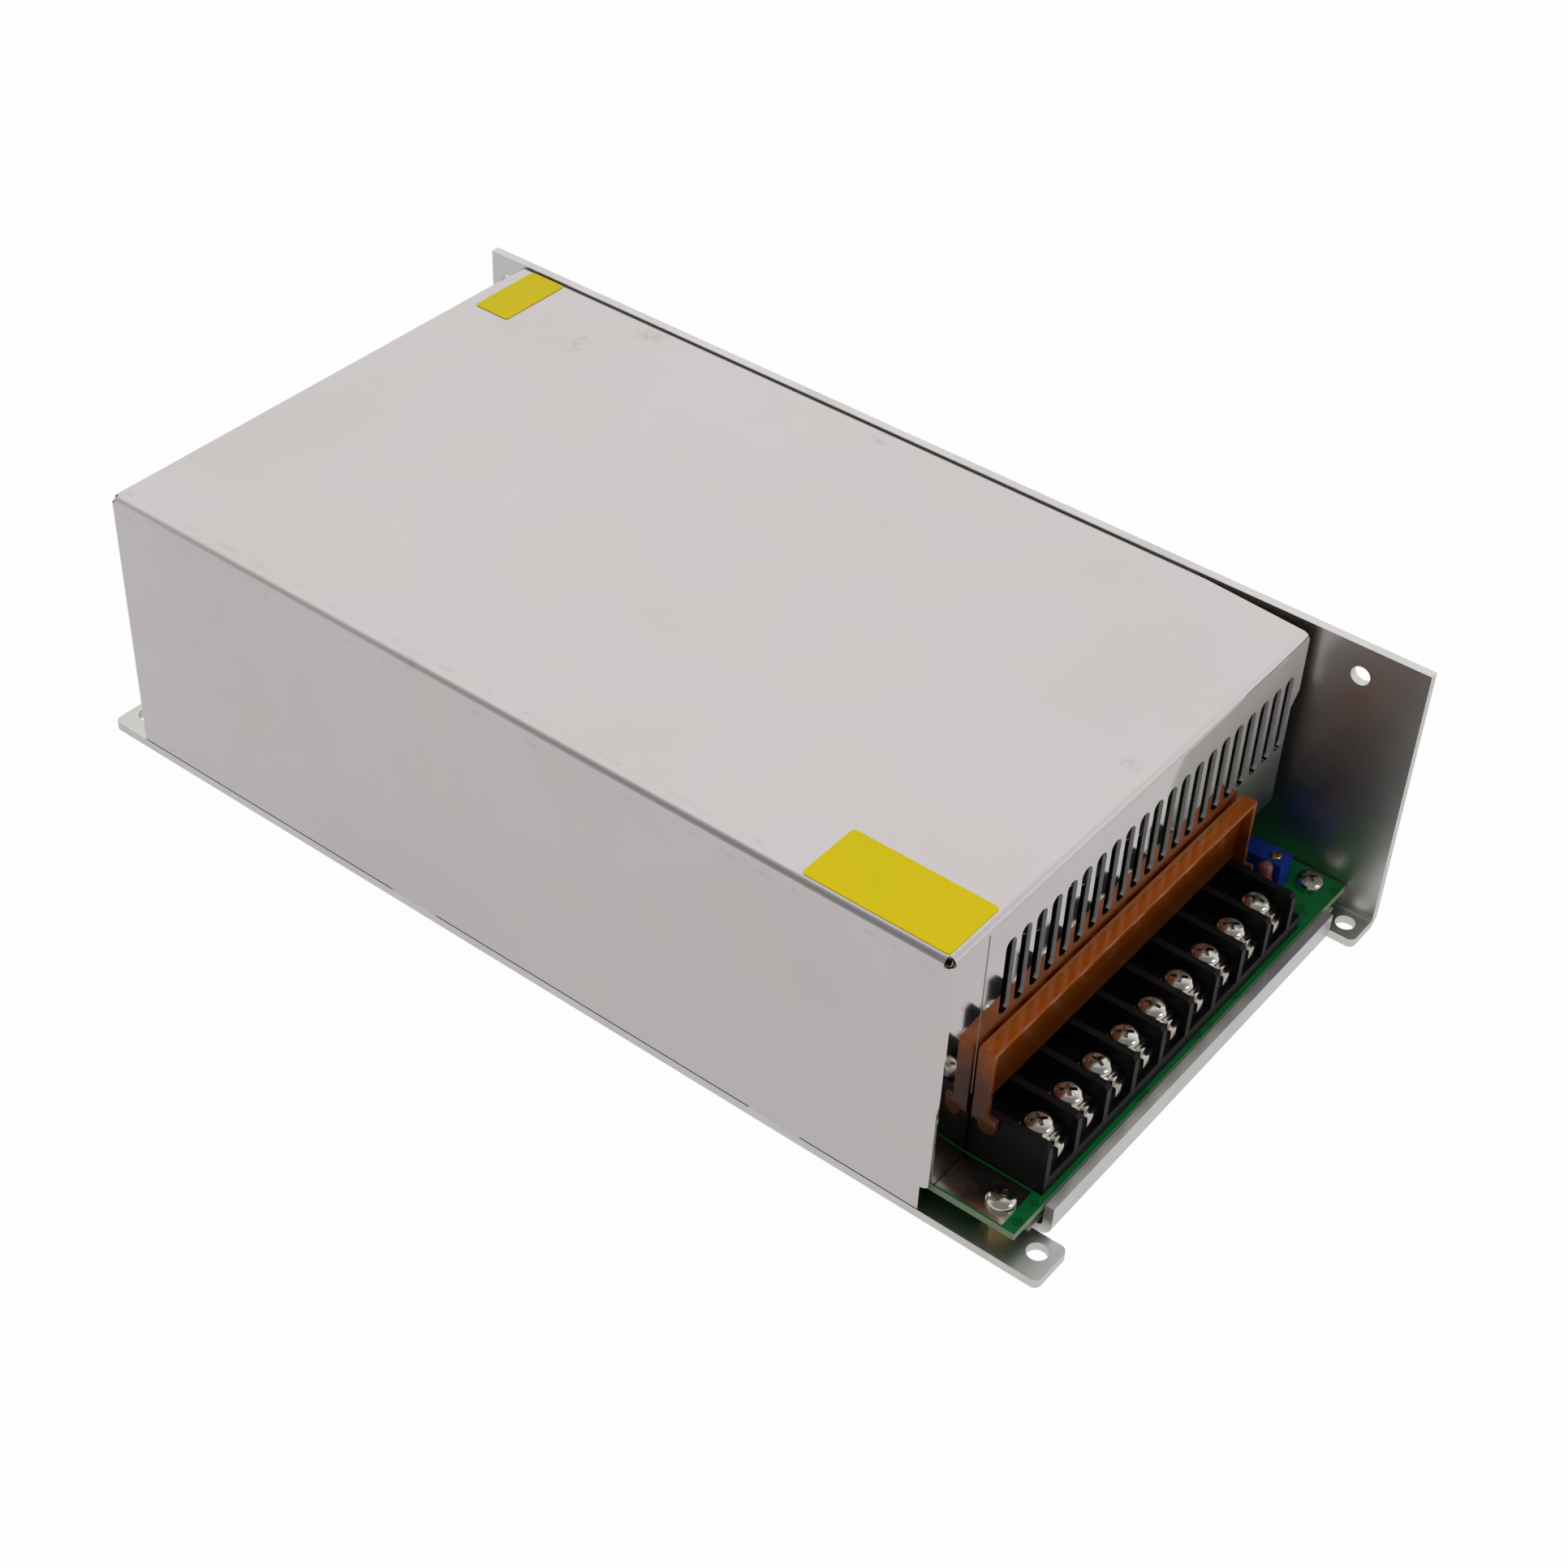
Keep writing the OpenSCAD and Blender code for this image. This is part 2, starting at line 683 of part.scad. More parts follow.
module terminal_washer(i) color("lightgray") translate([way_x(i), screw_y, contact_top]) difference() {
    translate([-washer_w / 2, -washer_w / 2, 0]) cube([washer_w, washer_w, washer_t]);
    translate([0, 0, -over]) cylinder(d = screw_d + 2 * thread_fit, h = washer_t + 2 * over);
}

module terminal_screw(i) color("lightgray") translate([way_x(i), screw_y, washer_top])
    pan_screw(screw_d, screw_len, head_d, head_h);

// Terminal cover, standing open: a shallow tray whose hollow faces the front
module terminal_cover() color([0.75, 0.4, 0.08, 0.8]) {
    lid_x0 = block_x0 - lid_side - lid_t;
    lid_x1 = row_x1 + lid_side + lid_t;
    back = lid_y + lid_rise + lid_t;
    lip = lid_y + lid_rise - lid_lip;
    top = lid_z + lid_reach;
    box([lid_x0, back - lid_t, lid_z + lid_start], [lid_x1, back, top]);
    box([lid_x0, lip, top - lid_t], [lid_x1, back, top]);
    for (x = [lid_x0, lid_x1 - lid_t]) {
        box([x, lip, lid_z + lid_start], [x + lid_t, back, top]);
        box([x, lid_y - pin_d, lid_z], [x + lid_t, back, lid_z + lid_start]);
        translate([x, lid_y, lid_z]) rotate([0, 90, 0]) cylinder(d = 2 * pin_d, h = lid_t);
    }
    for (x = [lid_x0, row_x1 - pin_reach]) translate([x, lid_y, lid_z]) rotate([0, 90, 0])
        cylinder(d = pin_d, h = lid_t + lid_side + pin_reach);
}

// Trimmer and lamp

module at_trimmer() translate([trimmer_x, trimmer_y, board_top]) children();

module trimmer_body() color("royalblue") at_trimmer() difference() {
    translate([-trimmer_w / 2, -trimmer_ahead, 0]) cube([trimmer_w, trimmer_l, trimmer_h]);
    translate([0, 0, trimmer_h - trimmer_sink])
        cylinder(d = trimmer_screw_d + 2 * pin_fit, h = trimmer_sink + over);
}

module trimmer_screw() color("goldenrod") at_trimmer()
    translate([0, 0, trimmer_h - trimmer_sink + pin_fit]) difference() {
        cylinder(d = trimmer_screw_d, h = trimmer_sink + flat_gap);
        translate([-trimmer_screw_d, -trimmer_screw_d / 8, trimmer_sink / 2])
            cube([2 * trimmer_screw_d, trimmer_screw_d / 4, trimmer_sink]);
    }

// A lamp that stands on its two legs
module indicator_lamp() color("salmon") translate([lamp_x, lamp_y, board_top]) {
    for (s = [-1, 1]) translate([-lamp_leg / 2, s * lamp_leg_out - lamp_leg / 2, 0])
        cube([lamp_leg, lamp_leg, lamp_stand + lamp_rim_h / 2]);
    translate([0, 0, lamp_stand]) {
        cylinder(d = lamp_d + 2 * lamp_rim, h = lamp_rim_h);
        cylinder(d = lamp_d, h = lamp_h - lamp_d / 2);
        translate([0, 0, lamp_h - lamp_d / 2]) sphere(d = lamp_d);
    }
}

// Parts on the board

// Capacitor can with a bevelled top
module can(d, h) {
    cylinder(d = d, h = h - cap_bevel);
    translate([0, 0, h - cap_bevel]) cylinder(d1 = d, d2 = d - 2 * cap_bevel, h = cap_bevel);
}

module bulk_capacitors() color("midnightblue") for (k = [0, 1])
    translate([bulk_x, row_c0 + bulk_d / 2 + k * (bulk_d + part_gap), board_top]) can(bulk_d, bulk_h);

module transformer_core() color("dimgray") translate([core_x, row_c, board_top]) difference() {
    translate([-core_w / 2, -core_l / 2, 0]) cube([core_w, core_l, core_h]);
    for (s = [-1, 1]) translate([s * (core_leg + window_w) / 2 - window_w / 2, -core_l, yoke_h])
        cube([window_w, 2 * core_l, core_h - 2 * yoke_h]);
}

module transformer_winding() color("khaki") translate([core_x, row_c, board_top + yoke_h]) difference() {
    wrap_w = core_leg + 2 * winding_wrap;
    wrap_l = core_l + 2 * flat_gap + 2 * winding_wrap;
    translate([-wrap_w / 2, -wrap_l / 2, 0]) cube([wrap_w, wrap_l, core_h - 2 * yoke_h - flat_gap]);
    translate([-core_leg / 2 - flat_gap, -core_l / 2 - flat_gap, -over])
        cube([core_leg + 2 * flat_gap, core_l + 2 * flat_gap, core_h]);
}

// Winding of a ring choke: a hollow ring open over part of a turn, so that the core shows
module ring_winding(outer, inner, h, wire) rotate(30) rotate_extrude(angle = 300)
    translate([inner / 2 - wire, 0]) difference() {
        square([(outer - inner) / 2 + 2 * wire, h + 2 * wire]);
        translate([wire - flat_gap, wire - flat_gap])
            square([(outer - inner) / 2 + 2 * flat_gap, h + 2 * flat_gap]);
    }

module output_choke_core() color("gold") translate([choke_x, row_b, board_top + choke_wire])
    ring_core(choke_core_d, choke_hole_d, choke_core_h);
module output_choke_winding() color("sienna") translate([choke_x, row_b, board_top])
    ring_winding(choke_core_d, choke_hole_d, choke_core_h, choke_wire);
module line_choke_core() color("darkolivegreen")
    translate([line_choke_x, line_row0 + line_choke_d / 2, board_top + line_wire])
        ring_core(line_core_d, line_hole_d, line_core_h);
module line_choke_winding() color("sienna") translate([line_choke_x, line_row0 + line_choke_d / 2, board_top])
    ring_winding(line_core_d, line_hole_d, line_core_h, line_wire);

module output_capacitors() color("black") for (k = [0 : outcap_count - 1])
    translate([outcap_x + k * (outcap_d + outcap_gap), row_a, board_top]) can(outcap_d, outcap_h);

module film_capacitors() color("gold") for (k = [0, 1])
    translate([film_x - film_w / 2, row_b0 + k * (film_l + part_gap), board_top])
        cube([film_w, film_l, film_h]);

module disc_capacitors() color("steelblue") for (k = [0 : disc_count - 1])
    translate([disc_x, row_d0 + disc_t + k * (disc_t + disc_gap), board_top + disc_d / 2])
        rotate([90, 0, 0]) cylinder(d = disc_d, h = disc_t);

module inrush_limiter() color("darkgreen")
    translate([limiter_x, row_d0 + limiter_t + disc_gap, board_top + limiter_d / 2])
        rotate([90, 0, 0]) cylinder(d = limiter_d, h = limiter_t);

// The fuse lies along the case, its caps held in two clips
module fuse() color("lightgray") translate([fuse_x, fuse_y, fuse_z]) rotate([-90, 0, 0])
    cylinder(d = fuse_d, h = fuse_l);
module fuse_clips() color("silver") for (y = [fuse_y, fuse_y + fuse_l - clip_l]) difference() {
    box([fuse_x - fuse_d / 2 - clip_t, y, board_top],
        [fuse_x + fuse_d / 2 + clip_t, y + clip_l, fuse_z + fuse_d / 4]);
    translate([fuse_x, y - over, fuse_z]) rotate([-90, 0, 0])
        cylinder(d = fuse_d + 2 * thread_fit, h = clip_l + 2 * over);
}

// Devices clamped to the chassis wall

module at_clamps() for (y = concat(clamp_y, [bar_y1 - device_gap / 2]))
    translate([x_far, y, bar_z + bar_h / 2]) rotate([0, 90, 0]) children();

module switching_transistors() color("#2b2b2d") for (k = [0 : wall_device_count - 1])
    translate([device_x, wall_device_y + k * device_pitch - device_w / 2, device_z])
        cube([device_t, device_w, device_h]);

module bridge_rectifier() color("#2b2b2d")
    translate([device_x, bridge_y - bridge_w / 2, device_z]) cube([device_t, bridge_w, device_h]);

module insulating_pad() color("mistyrose") difference() {
    box([wall_in - pad_t, bar_y0, device_z - bar_end],
        [wall_in, bar_y1 + bar_end, device_z + device_h + bar_end]);
    at_clamps() translate([0, 0, -base_t - over]) cylinder(d = small_d + 2 * shank_gap, h = over + base_t);
}

module clamp_bar() color("silver") difference() {
    box([bar_x, bar_y0, bar_z], [device_x, bar_y1 + bar_end, bar_z + bar_h]);
    at_clamps() translate([0, 0, bar_x - x_far - over])
        cylinder(d = small_d + 2 * shank_gap, h = bar_t + 2 * over);
}

module clamp_screws() color("silver") at_clamps() translate([0, 0, bar_x - x_far]) mirror([0, 0, 1])
    pan_screw(small_d, x_far - bar_x, small_head_d, small_head_h);

// Output side

module heat_sink() color("silver") translate([sink_x, row_d0, board_top]) {
    cube([sink_t, sink_l, sink_h]);
    cube([sink_foot, sink_l, sink_t]);
}

module output_rectifiers() color("#2b2b2d") for (k = [0 : rectifier_count - 1])
    translate([sink_x + sink_t, row_d0 + sink_end + k * device_pitch, device_z])
        cube([device_t, device_w, device_h]);

module control_board() color("darkgreen")
    translate([control_x, row_d0, board_top]) cube([board_t, control_l, control_h]);

module control_chip() color("#2b2b2d")
    translate([control_x + board_t, row_d0 + (control_l - chip_w) / 2, board_top + chip_lift])
        cube([chip_t, chip_w, chip_h]);

// Fan, drawn with its axis along z and the inner end at z = 0
module at_fan() translate([fan_x, fan_y0, fan_z]) rotate([-90, 0, 0]) children();
hub_t = 3.5;
hub_z = fan_l - hub_t;
hub_wall = 1.5;
rotor_end = 1;
rotor_l = hub_z - fan_tip_gap - rotor_end;
blade_t = 1.6;
blade_tilt = 40;
strut_w = 3;
bearing_wall = 2.5;
bearing_d = shaft_d + 2 * bearing_wall;

module fan_flange_plate() linear_extrude(fan_flange) difference() {
    square(fan_s, center = true);
    for (sx = [-1, 1], sy = [-1, 1]) round_off(sx * fan_s / 2, sy * fan_s / 2, -sx, -sy, fan_corner);
}

module fan_frame() color("#202022") at_fan() {
    difference() {
        union() {
            fan_flange_plate();
            translate([0, 0, fan_l - fan_flange]) fan_flange_plate();
            cylinder(d = fan_s, h = fan_l);
        }
        translate([0, 0, -over]) cylinder(d = fan_bore, h = fan_l + 2 * over);
        for (sx = [-1, 1], sy = [-1, 1])
            translate([sx * fan_hole_pitch / 2, sy * fan_hole_pitch / 2, -over])
                cylinder(d = fan_screw_d + 2 * shank_gap, h = fan_l + 2 * over);
    }
    difference() {
        union() {
            translate([0, 0, hub_z]) cylinder(d = hub_d, h = hub_t);
            for (turn = [0 : 90 : 270]) rotate(turn)
                translate([0, -strut_w / 2, hub_z]) cube([(fan_bore + fan_wall) / 2, strut_w, hub_t]);
            translate([0, 0, hub_z - rotor_l / 2]) cylinder(d = bearing_d, h = rotor_l / 2 + rotor_end);
        }
        translate([0, 0, hub_z - rotor_l])
            cylinder(d = shaft_d + 2 * pin_fit, h = rotor_l + hub_t - rotor_end);
    }
}

module fan_rotor() color("#202022") at_fan() translate([0, 0, rotor_end]) {
    difference() {
        cylinder(d = hub_d, h = rotor_l);
        translate([0, 0, hub_wall]) cylinder(d = hub_d - 2 * hub_wall, h = rotor_l);
    }
    cylinder(d = shaft_d, h = rotor_l + fan_tip_gap + hub_t - 2 * rotor_end);
    intersection() {
        for (k = [0 : blade_count - 1]) rotate(k * 360 / blade_count)
            translate([0, 0, rotor_l / 2]) rotate([blade_tilt, 0, 0])
                translate([0, -fan_s / 4, -blade_t / 2]) cube([fan_s, fan_s / 2, blade_t]);
        translate([0, 0, hub_wall / 2])
            ring_core(fan_bore - 2 * fan_tip_gap, hub_d - hub_wall, rotor_l - hub_wall);
    }
}

module fan_screws() color("silver") at_fan_holes() translate([0, cover_rear, 0]) rotate([-90, 0, 0])
    pan_screw(fan_screw_d, fan_flange + 2 * cover_t, fan_screw_d * 1.8, small_head_h);

// Voltage selector

// Window that the slider moves in, drawn in y and z
module selector_window() {
    reach = knob_s + 2 * flat_gap;
    translate([selector_y - reach / 2, selector_z - reach / 2]) square([reach + selector_travel, reach]);
}

module selector_body() color("#202022") difference() {
    translate([wall_in - selector_d, selector_y + (selector_travel - selector_l) / 2, selector_z])
        translate([0, 0, -selector_h / 2]) cube([selector_d, selector_l, selector_h]);
    along_x(wall_in - channel_d, wall_in + over) selector_window();
}

module selector_slider() color("red") difference() {
    translate([wall_in - channel_d + pin_fit, selector_y - knob_s / 2, selector_z - knob_s / 2])
        cube([channel_d - pin_fit + base_t - flat_gap, knob_s, knob_s]);
    translate([x_far - base_t / 2, selector_y - knob_s / 10, selector_z - knob_s])
        cube([base_t, knob_s / 5, 2 * knob_s]);
}

// Labels

module front_label() color("yellow") translate([x_near + cover_bend, cover_front + cover_bend, cover_top])
    cube([front_label_w, front_label_l, label_t]);

module rear_label() color("yellow")
    translate([cover_far - flat_gap - rear_label_l, cover_rear - rear_label_in - rear_label_w, cover_top])
        cube([rear_label_l, rear_label_w, label_t]);

base_chassis();
top_cover();
cover_screws();
insulating_sheet();
board_standoffs();
circuit_board();
board_screws();
terminal_block();
terminal_contacts();
terminal_cover();
for (i = ways) {
    terminal_washer(i);
    terminal_screw(i);
}
trimmer_body();
trimmer_screw();
indicator_lamp();
bulk_capacitors();
transformer_core();
transformer_winding();
output_choke_core();
output_choke_winding();
output_capacitors();
line_choke_core();
line_choke_winding();
film_capacitors();
disc_capacitors();
inrush_limiter();
fuse();
fuse_clips();
bridge_rectifier();
switching_transistors();
insulating_pad();
clamp_bar();
clamp_screws();
output_rectifiers();
heat_sink();
control_board();
control_chip();
fan_frame();
fan_rotor();
fan_screws();
selector_body();
selector_slider();
front_label();
rear_label();
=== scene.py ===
# %% [markdown]
# A switching power supply in two folded sheets.
# The real thing is a bench and cabinet supply: a thick aluminium tray, a thin plated cover with a row of
# slots, and a green board that carries nine screw terminals under a hinged amber lid.
# The frame below already holds every piece at its true size and place, so this lesson only dresses it:
# edges get their small radius, screws their turned heads, and each surface the finish of the real one.

# %% Load the frame
import math

import bmesh
import bpy
import mathutils
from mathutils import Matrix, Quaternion, Vector


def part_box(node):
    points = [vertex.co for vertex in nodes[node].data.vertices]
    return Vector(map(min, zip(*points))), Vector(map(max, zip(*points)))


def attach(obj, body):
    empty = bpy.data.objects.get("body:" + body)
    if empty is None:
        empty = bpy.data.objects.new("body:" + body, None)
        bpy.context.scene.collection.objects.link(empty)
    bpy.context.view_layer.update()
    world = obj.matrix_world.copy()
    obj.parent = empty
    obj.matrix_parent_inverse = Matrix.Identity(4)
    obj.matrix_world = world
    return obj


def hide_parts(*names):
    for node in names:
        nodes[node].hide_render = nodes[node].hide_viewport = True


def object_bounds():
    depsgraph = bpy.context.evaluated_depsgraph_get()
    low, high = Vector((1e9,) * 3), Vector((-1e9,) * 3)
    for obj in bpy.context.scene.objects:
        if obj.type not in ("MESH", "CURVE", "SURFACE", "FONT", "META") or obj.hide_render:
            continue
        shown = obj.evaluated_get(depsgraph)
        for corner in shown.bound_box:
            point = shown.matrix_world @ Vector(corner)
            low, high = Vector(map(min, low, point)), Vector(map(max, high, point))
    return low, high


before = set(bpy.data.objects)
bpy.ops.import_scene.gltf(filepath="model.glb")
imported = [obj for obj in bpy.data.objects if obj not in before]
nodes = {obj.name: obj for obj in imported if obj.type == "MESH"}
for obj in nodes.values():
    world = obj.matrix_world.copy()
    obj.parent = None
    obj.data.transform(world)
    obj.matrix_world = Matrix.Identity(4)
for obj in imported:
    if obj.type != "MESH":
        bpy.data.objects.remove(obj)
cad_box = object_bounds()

MM = 0.001
scene = bpy.context.scene

# %% [markdown]
# The camera stands where the picture was taken: in front of the terminals, to the left and well above.
# It could be placed by eye, but a focal length in pixels and three angles repeat exactly,
# and the lens then follows from the sensor's width. The picture is square, so one focal length is enough.

# %% Camera
PHOTO_PX = 1932
FOCAL_PX = 3351.7
SENSOR_MM = 36.0
NEAREST = 10 * MM
camera_turn = math.radians(-53.903)
camera_height = math.radians(40.369)
camera_roll = math.radians(3.016)
camera_reach = 541.165 * MM
camera_aim = Vector((-7.735, -19.632, 26.546)) * MM

to_camera = Vector((
    math.sin(camera_turn) * math.cos(camera_height),
    -math.cos(camera_turn) * math.cos(camera_height),
    math.sin(camera_height),
))
camera_data = bpy.data.cameras.new("product_camera")
camera_data.sensor_width = SENSOR_MM
camera_data.lens = FOCAL_PX / PHOTO_PX * SENSOR_MM
camera_data.clip_start = NEAREST
camera = bpy.data.objects.new("product_camera", camera_data)
camera.location = camera_aim + to_camera * camera_reach
camera.rotation_mode = "QUATERNION"
camera.rotation_quaternion = (-to_camera).to_track_quat("-Z", "Y") @ Quaternion((0, 0, 1), camera_roll)
scene.collection.objects.link(camera)
scene.camera = camera
scene.view_settings.view_transform = "Standard"
print("camera lens:", round(camera_data.lens, 2), "mm")

# %% [markdown]
# Every finish below is a small graph of nodes. Writing each node out takes four lines, so helpers do it:
# one makes a node and joins or sets its sockets, and the others give a sum, a product, a span or a mix.
# A socket is named by its label, or by its number where a node repeats a label.

# %% Node helpers
def put(tree, kind, sockets=None, **settings):
    """A new node with its settings made, and each named socket linked or given a value."""
    made = tree.nodes.new(kind)
    for name, value in settings.items():
        setattr(made, name, value)
    for name, value in (sockets or {}).items():
        if isinstance(value, bpy.types.NodeSocket):
            tree.links.new(value, made.inputs[name])
        else:
            made.inputs[name].default_value = value
    return made


def calc(tree, operation, first, second=0.0):
    """The output of one Math node."""
    return put(tree, "ShaderNodeMath", {0: first, 1: second}, operation=operation).outputs[0]


def times(tree, first, second):
    return calc(tree, "MULTIPLY", first, second)


def plus(tree, first, second):
    return calc(tree, "ADD", first, second)


def axes(tree, vector):
    """The X, Y and Z of a vector."""
    return put(tree, "ShaderNodeSeparateXYZ", {0: vector}).outputs


def measure(tree, operation, first, second):
    """One number from two vectors, such as their distance."""
    return put(tree, "ShaderNodeVectorMath", {0: first, 1: second}, operation=operation).outputs["Value"]


def stretch(tree, vector, factors):
    """A vector multiplied along each axis."""
    return put(tree, "ShaderNodeVectorMath", {0: vector, 1: factors}, operation="MULTIPLY").outputs[0]


def span(tree, value, low, high, out_low=0.0, out_high=1.0):
    """A value stretched from one span to another, with soft ends."""
    sockets = {"Value": value, "From Min": low, "From Max": high, "To Min": out_low, "To Max": out_high}
    return put(tree, "ShaderNodeMapRange", sockets, interpolation_type="SMOOTHSTEP").outputs["Result"]


def blend_colour(tree, share, first, second):
    """Two colours mixed by a share. A colour is a socket, or its red, green and blue."""
    ends = [end if isinstance(end, bpy.types.NodeSocket) else (*end, 1.0) for end in (first, second)]
    sockets = {"Factor": share, 6: ends[0], 7: ends[1]}
    return put(tree, "ShaderNodeMix", sockets, data_type="RGBA").outputs[2]


print("node helpers ready")

# %% [markdown]
# The picture was taken in a white tent: white below and all round, and dimmer on the camera's own side.
# That dim side matters more than any lamp, because plated sheet shows little but what it faces.
# A dark card beside the camera could give it, but the world does so with no extra object:
# it is white, with a soft dim patch towards the camera.

# %% World
AIR_LEVEL = 0.93
DIM_LEVEL = 0.25
DIM_START = -0.05
DIM_FULL = 0.70
DIM_RISE = 0.60

world = bpy.data.worlds.new("studio_air")
scene.world = world
world.use_nodes = True
air = world.node_tree
direction = put(air, "ShaderNodeTexCoord").outputs["Generated"]
dim_side = Vector((to_camera.x, to_camera.y, DIM_RISE)).normalized()
towards = measure(air, "DOT_PRODUCT", direction, dim_side)
level = span(air, towards, DIM_START, DIM_FULL, AIR_LEVEL, DIM_LEVEL)
seen = put(air, "ShaderNodeLightPath").outputs["Is Camera Ray"]
sky = air.nodes["Background"]
sky.inputs["Color"].default_value = (1.0, 1.0, 1.0, 1.0)
air.links.new(calc(air, "MAXIMUM", level, seen), sky.inputs["Strength"])
print("world level", AIR_LEVEL, "dimming to", DIM_LEVEL)

# %% [markdown]
# Two soft boxes add what the tent lacks. The small one in front gives the screws their hard glints.
# The wide one above lights the matt parts, where a small lamp would cast harder shadows than the picture has.
# It is kept out of mirror images, because in the flat cover it would show as a hard white patch.

# %% Lamps
TOP_BOX = {"place": (-0.30, -0.12, 1.0), "aim": (0, 0, 0.03), "side": 0.80, "power": 2.3}
FRONT_BOX = {"place": (0.16, -0.95, 0.42), "aim": (0, -0.08, 0.02), "side": 0.30, "power": 1.2}


def soft_box(name, place, aim, side, power):
    """A square lamp of that side, turned towards a point."""
    lamp = bpy.data.lights.new(name, "AREA")
    lamp.shape = "SQUARE"
    lamp.size = side
    lamp.energy = power
    holder = bpy.data.objects.new(name, lamp)
    holder.location = place
    holder.rotation_mode = "QUATERNION"
    holder.rotation_quaternion = (Vector(aim) - Vector(place)).to_track_quat("-Z", "Y")
    scene.collection.objects.link(holder)
    return holder


soft_box("top_box", **TOP_BOX).visible_glossy = False
soft_box("front_box", **FRONT_BOX)

# %% [markdown]
# The object stands on a large sheet of white paper, which is stage and no part of it.
# Lamps alone would leave the sheet grey. So most of what the camera, metal and glass see of it
# is a steady white, and the small rest is lit paper, which keeps the object's shadow.

# %% Floor
FLOOR_HALF = 3.0
FLOOR_DROP = 0.05 * MM
SEEN_SHARE = 0.97
GLOSSY_SHARE = 0.86
GLOSSY_WHITE = 0.72
PAPER_COLOUR = (0.86, 0.86, 0.86, 1.0)
SQUARE = ((-1, -1), (1, -1), (1, 1), (-1, 1))

floor_mesh = bpy.data.meshes.new("paper_sweep")
floor_corners = [(x * FLOOR_HALF, y * FLOOR_HALF, -FLOOR_DROP) for x, y in SQUARE]
floor_mesh.from_pydata(floor_corners, [], [(0, 1, 2, 3)])
floor = bpy.data.objects.new("paper_sweep", floor_mesh)
scene.collection.objects.link(floor)
paper = bpy.data.materials.new("white_paper")
paper.use_nodes = True
paper_tree = paper.node_tree
paper_tree.nodes.clear()
path = put(paper_tree, "ShaderNodeLightPath").outputs
straight = calc(paper_tree, "MAXIMUM", path["Is Camera Ray"], path["Is Transmission Ray"])
glossy = times(paper_tree, path["Is Glossy Ray"], GLOSSY_SHARE)
shown = calc(paper_tree, "MAXIMUM", times(paper_tree, straight, SEEN_SHARE), glossy)
white = span(paper_tree, path["Is Glossy Ray"], 0.0, 1.0, 1.0, GLOSSY_WHITE)
lit = put(paper_tree, "ShaderNodeBsdfDiffuse", {"Color": PAPER_COLOUR}).outputs[0]
glow = put(paper_tree, "ShaderNodeEmission", {"Strength": white}).outputs[0]
mixed = put(paper_tree, "ShaderNodeMixShader", {0: shown, 1: lit, 2: glow}).outputs[0]
put(paper_tree, "ShaderNodeOutputMaterial", {"Surface": mixed})
floor_mesh.materials.append(paper)
print("floor half side:", FLOOR_HALF, "m")

# %% [markdown]
# Several finishes share the same flaws: rolled sheet has fine lines along the mill's direction,
# handled metal has cloudy smears and short scuffs, and moulded plastic has a fine matt skin.
# Each flaw is one node group with named sockets, so every material can place it with its own values.
# All of them read object coordinates in metres, so their scale is the real one on every piece.

# %% Shared surface flaws
def flaw_group(name, values, results):
    """An empty shader group with a Vector input, some value inputs and some value outputs."""
    tree = bpy.data.node_groups.new(name, "ShaderNodeTree")
    tree.interface.new_socket("Vector", in_out="INPUT", socket_type="NodeSocketVector")
    for label, value in values.items():
        socket = tree.interface.new_socket(label, in_out="INPUT", socket_type="NodeSocketFloat")
        socket.default_value = value
    for label in results:
        tree.interface.new_socket(label, in_out="OUTPUT", socket_type="NodeSocketFloat")
    return tree, put(tree, "NodeGroupInput").outputs, put(tree, "NodeGroupOutput").inputs


def noise(tree, vector, scale, detail=3.0, rough=0.55):
    sockets = {"Vector": vector, "Scale": scale, "Detail": detail, "Roughness": rough}
    return put(tree, "ShaderNodeTexNoise", sockets).outputs[0]


def rolled_lines():
    """Fine lines along Y, as the mill leaves them."""
    tree, given, out = flaw_group("rolled_lines", {"Across": 2600.0, "Along": 60.0}, ["Lines"])
    sides = {"X": given["Across"], "Y": given["Along"], "Z": given["Across"]}
    drawn = stretch(tree, given["Vector"], put(tree, "ShaderNodeCombineXYZ", sides).outputs[0])
    tree.links.new(noise(tree, drawn, 1.0, 4.0), out["Lines"])
    return tree


def handling_marks():
    """Cloudy smears from fingers, and short scuffs that come in clusters."""
    scales = {"Smear Scale": 22.0, "Scuff Scale": 90.0}
    tree, given, out = flaw_group("handling_marks", scales, ["Smears", "Scuffs"])
    cloud = noise(tree, given["Vector"], given["Smear Scale"], 4.0, 0.6)
    tree.links.new(span(tree, cloud, 0.42, 0.72), out["Smears"])
    laid = {"Vector": given["Vector"], "Rotation": (0.4, 0.3, 0.9), "Scale": (1.0, 9.0, 9.0)}
    slant = put(tree, "ShaderNodeMapping", laid).outputs[0]
    streaks = span(tree, noise(tree, slant, given["Scuff Scale"], 2.0), 0.68, 0.74)
    cluster_scale = times(tree, given["Smear Scale"], 0.8)
    clusters = span(tree, noise(tree, given["Vector"], cluster_scale), 0.55, 0.65)
    tree.links.new(times(tree, streaks, clusters), out["Scuffs"])
    return tree


def moulded_skin():
    """The fine matt texture of a moulded part, and slow changes of gloss."""
    scales = {"Grain Scale": 4500.0, "Flow Scale": 160.0}
    tree, given, out = flaw_group("moulded_skin", scales, ["Grain", "Flow"])
    tree.links.new(noise(tree, given["Vector"], given["Grain Scale"], 2.0), out["Grain"])
    tree.links.new(noise(tree, given["Vector"], given["Flow Scale"], 3.0), out["Flow"])
    return tree


flaws = {tree.name: tree for tree in (rolled_lines(), handling_marks(), moulded_skin())}


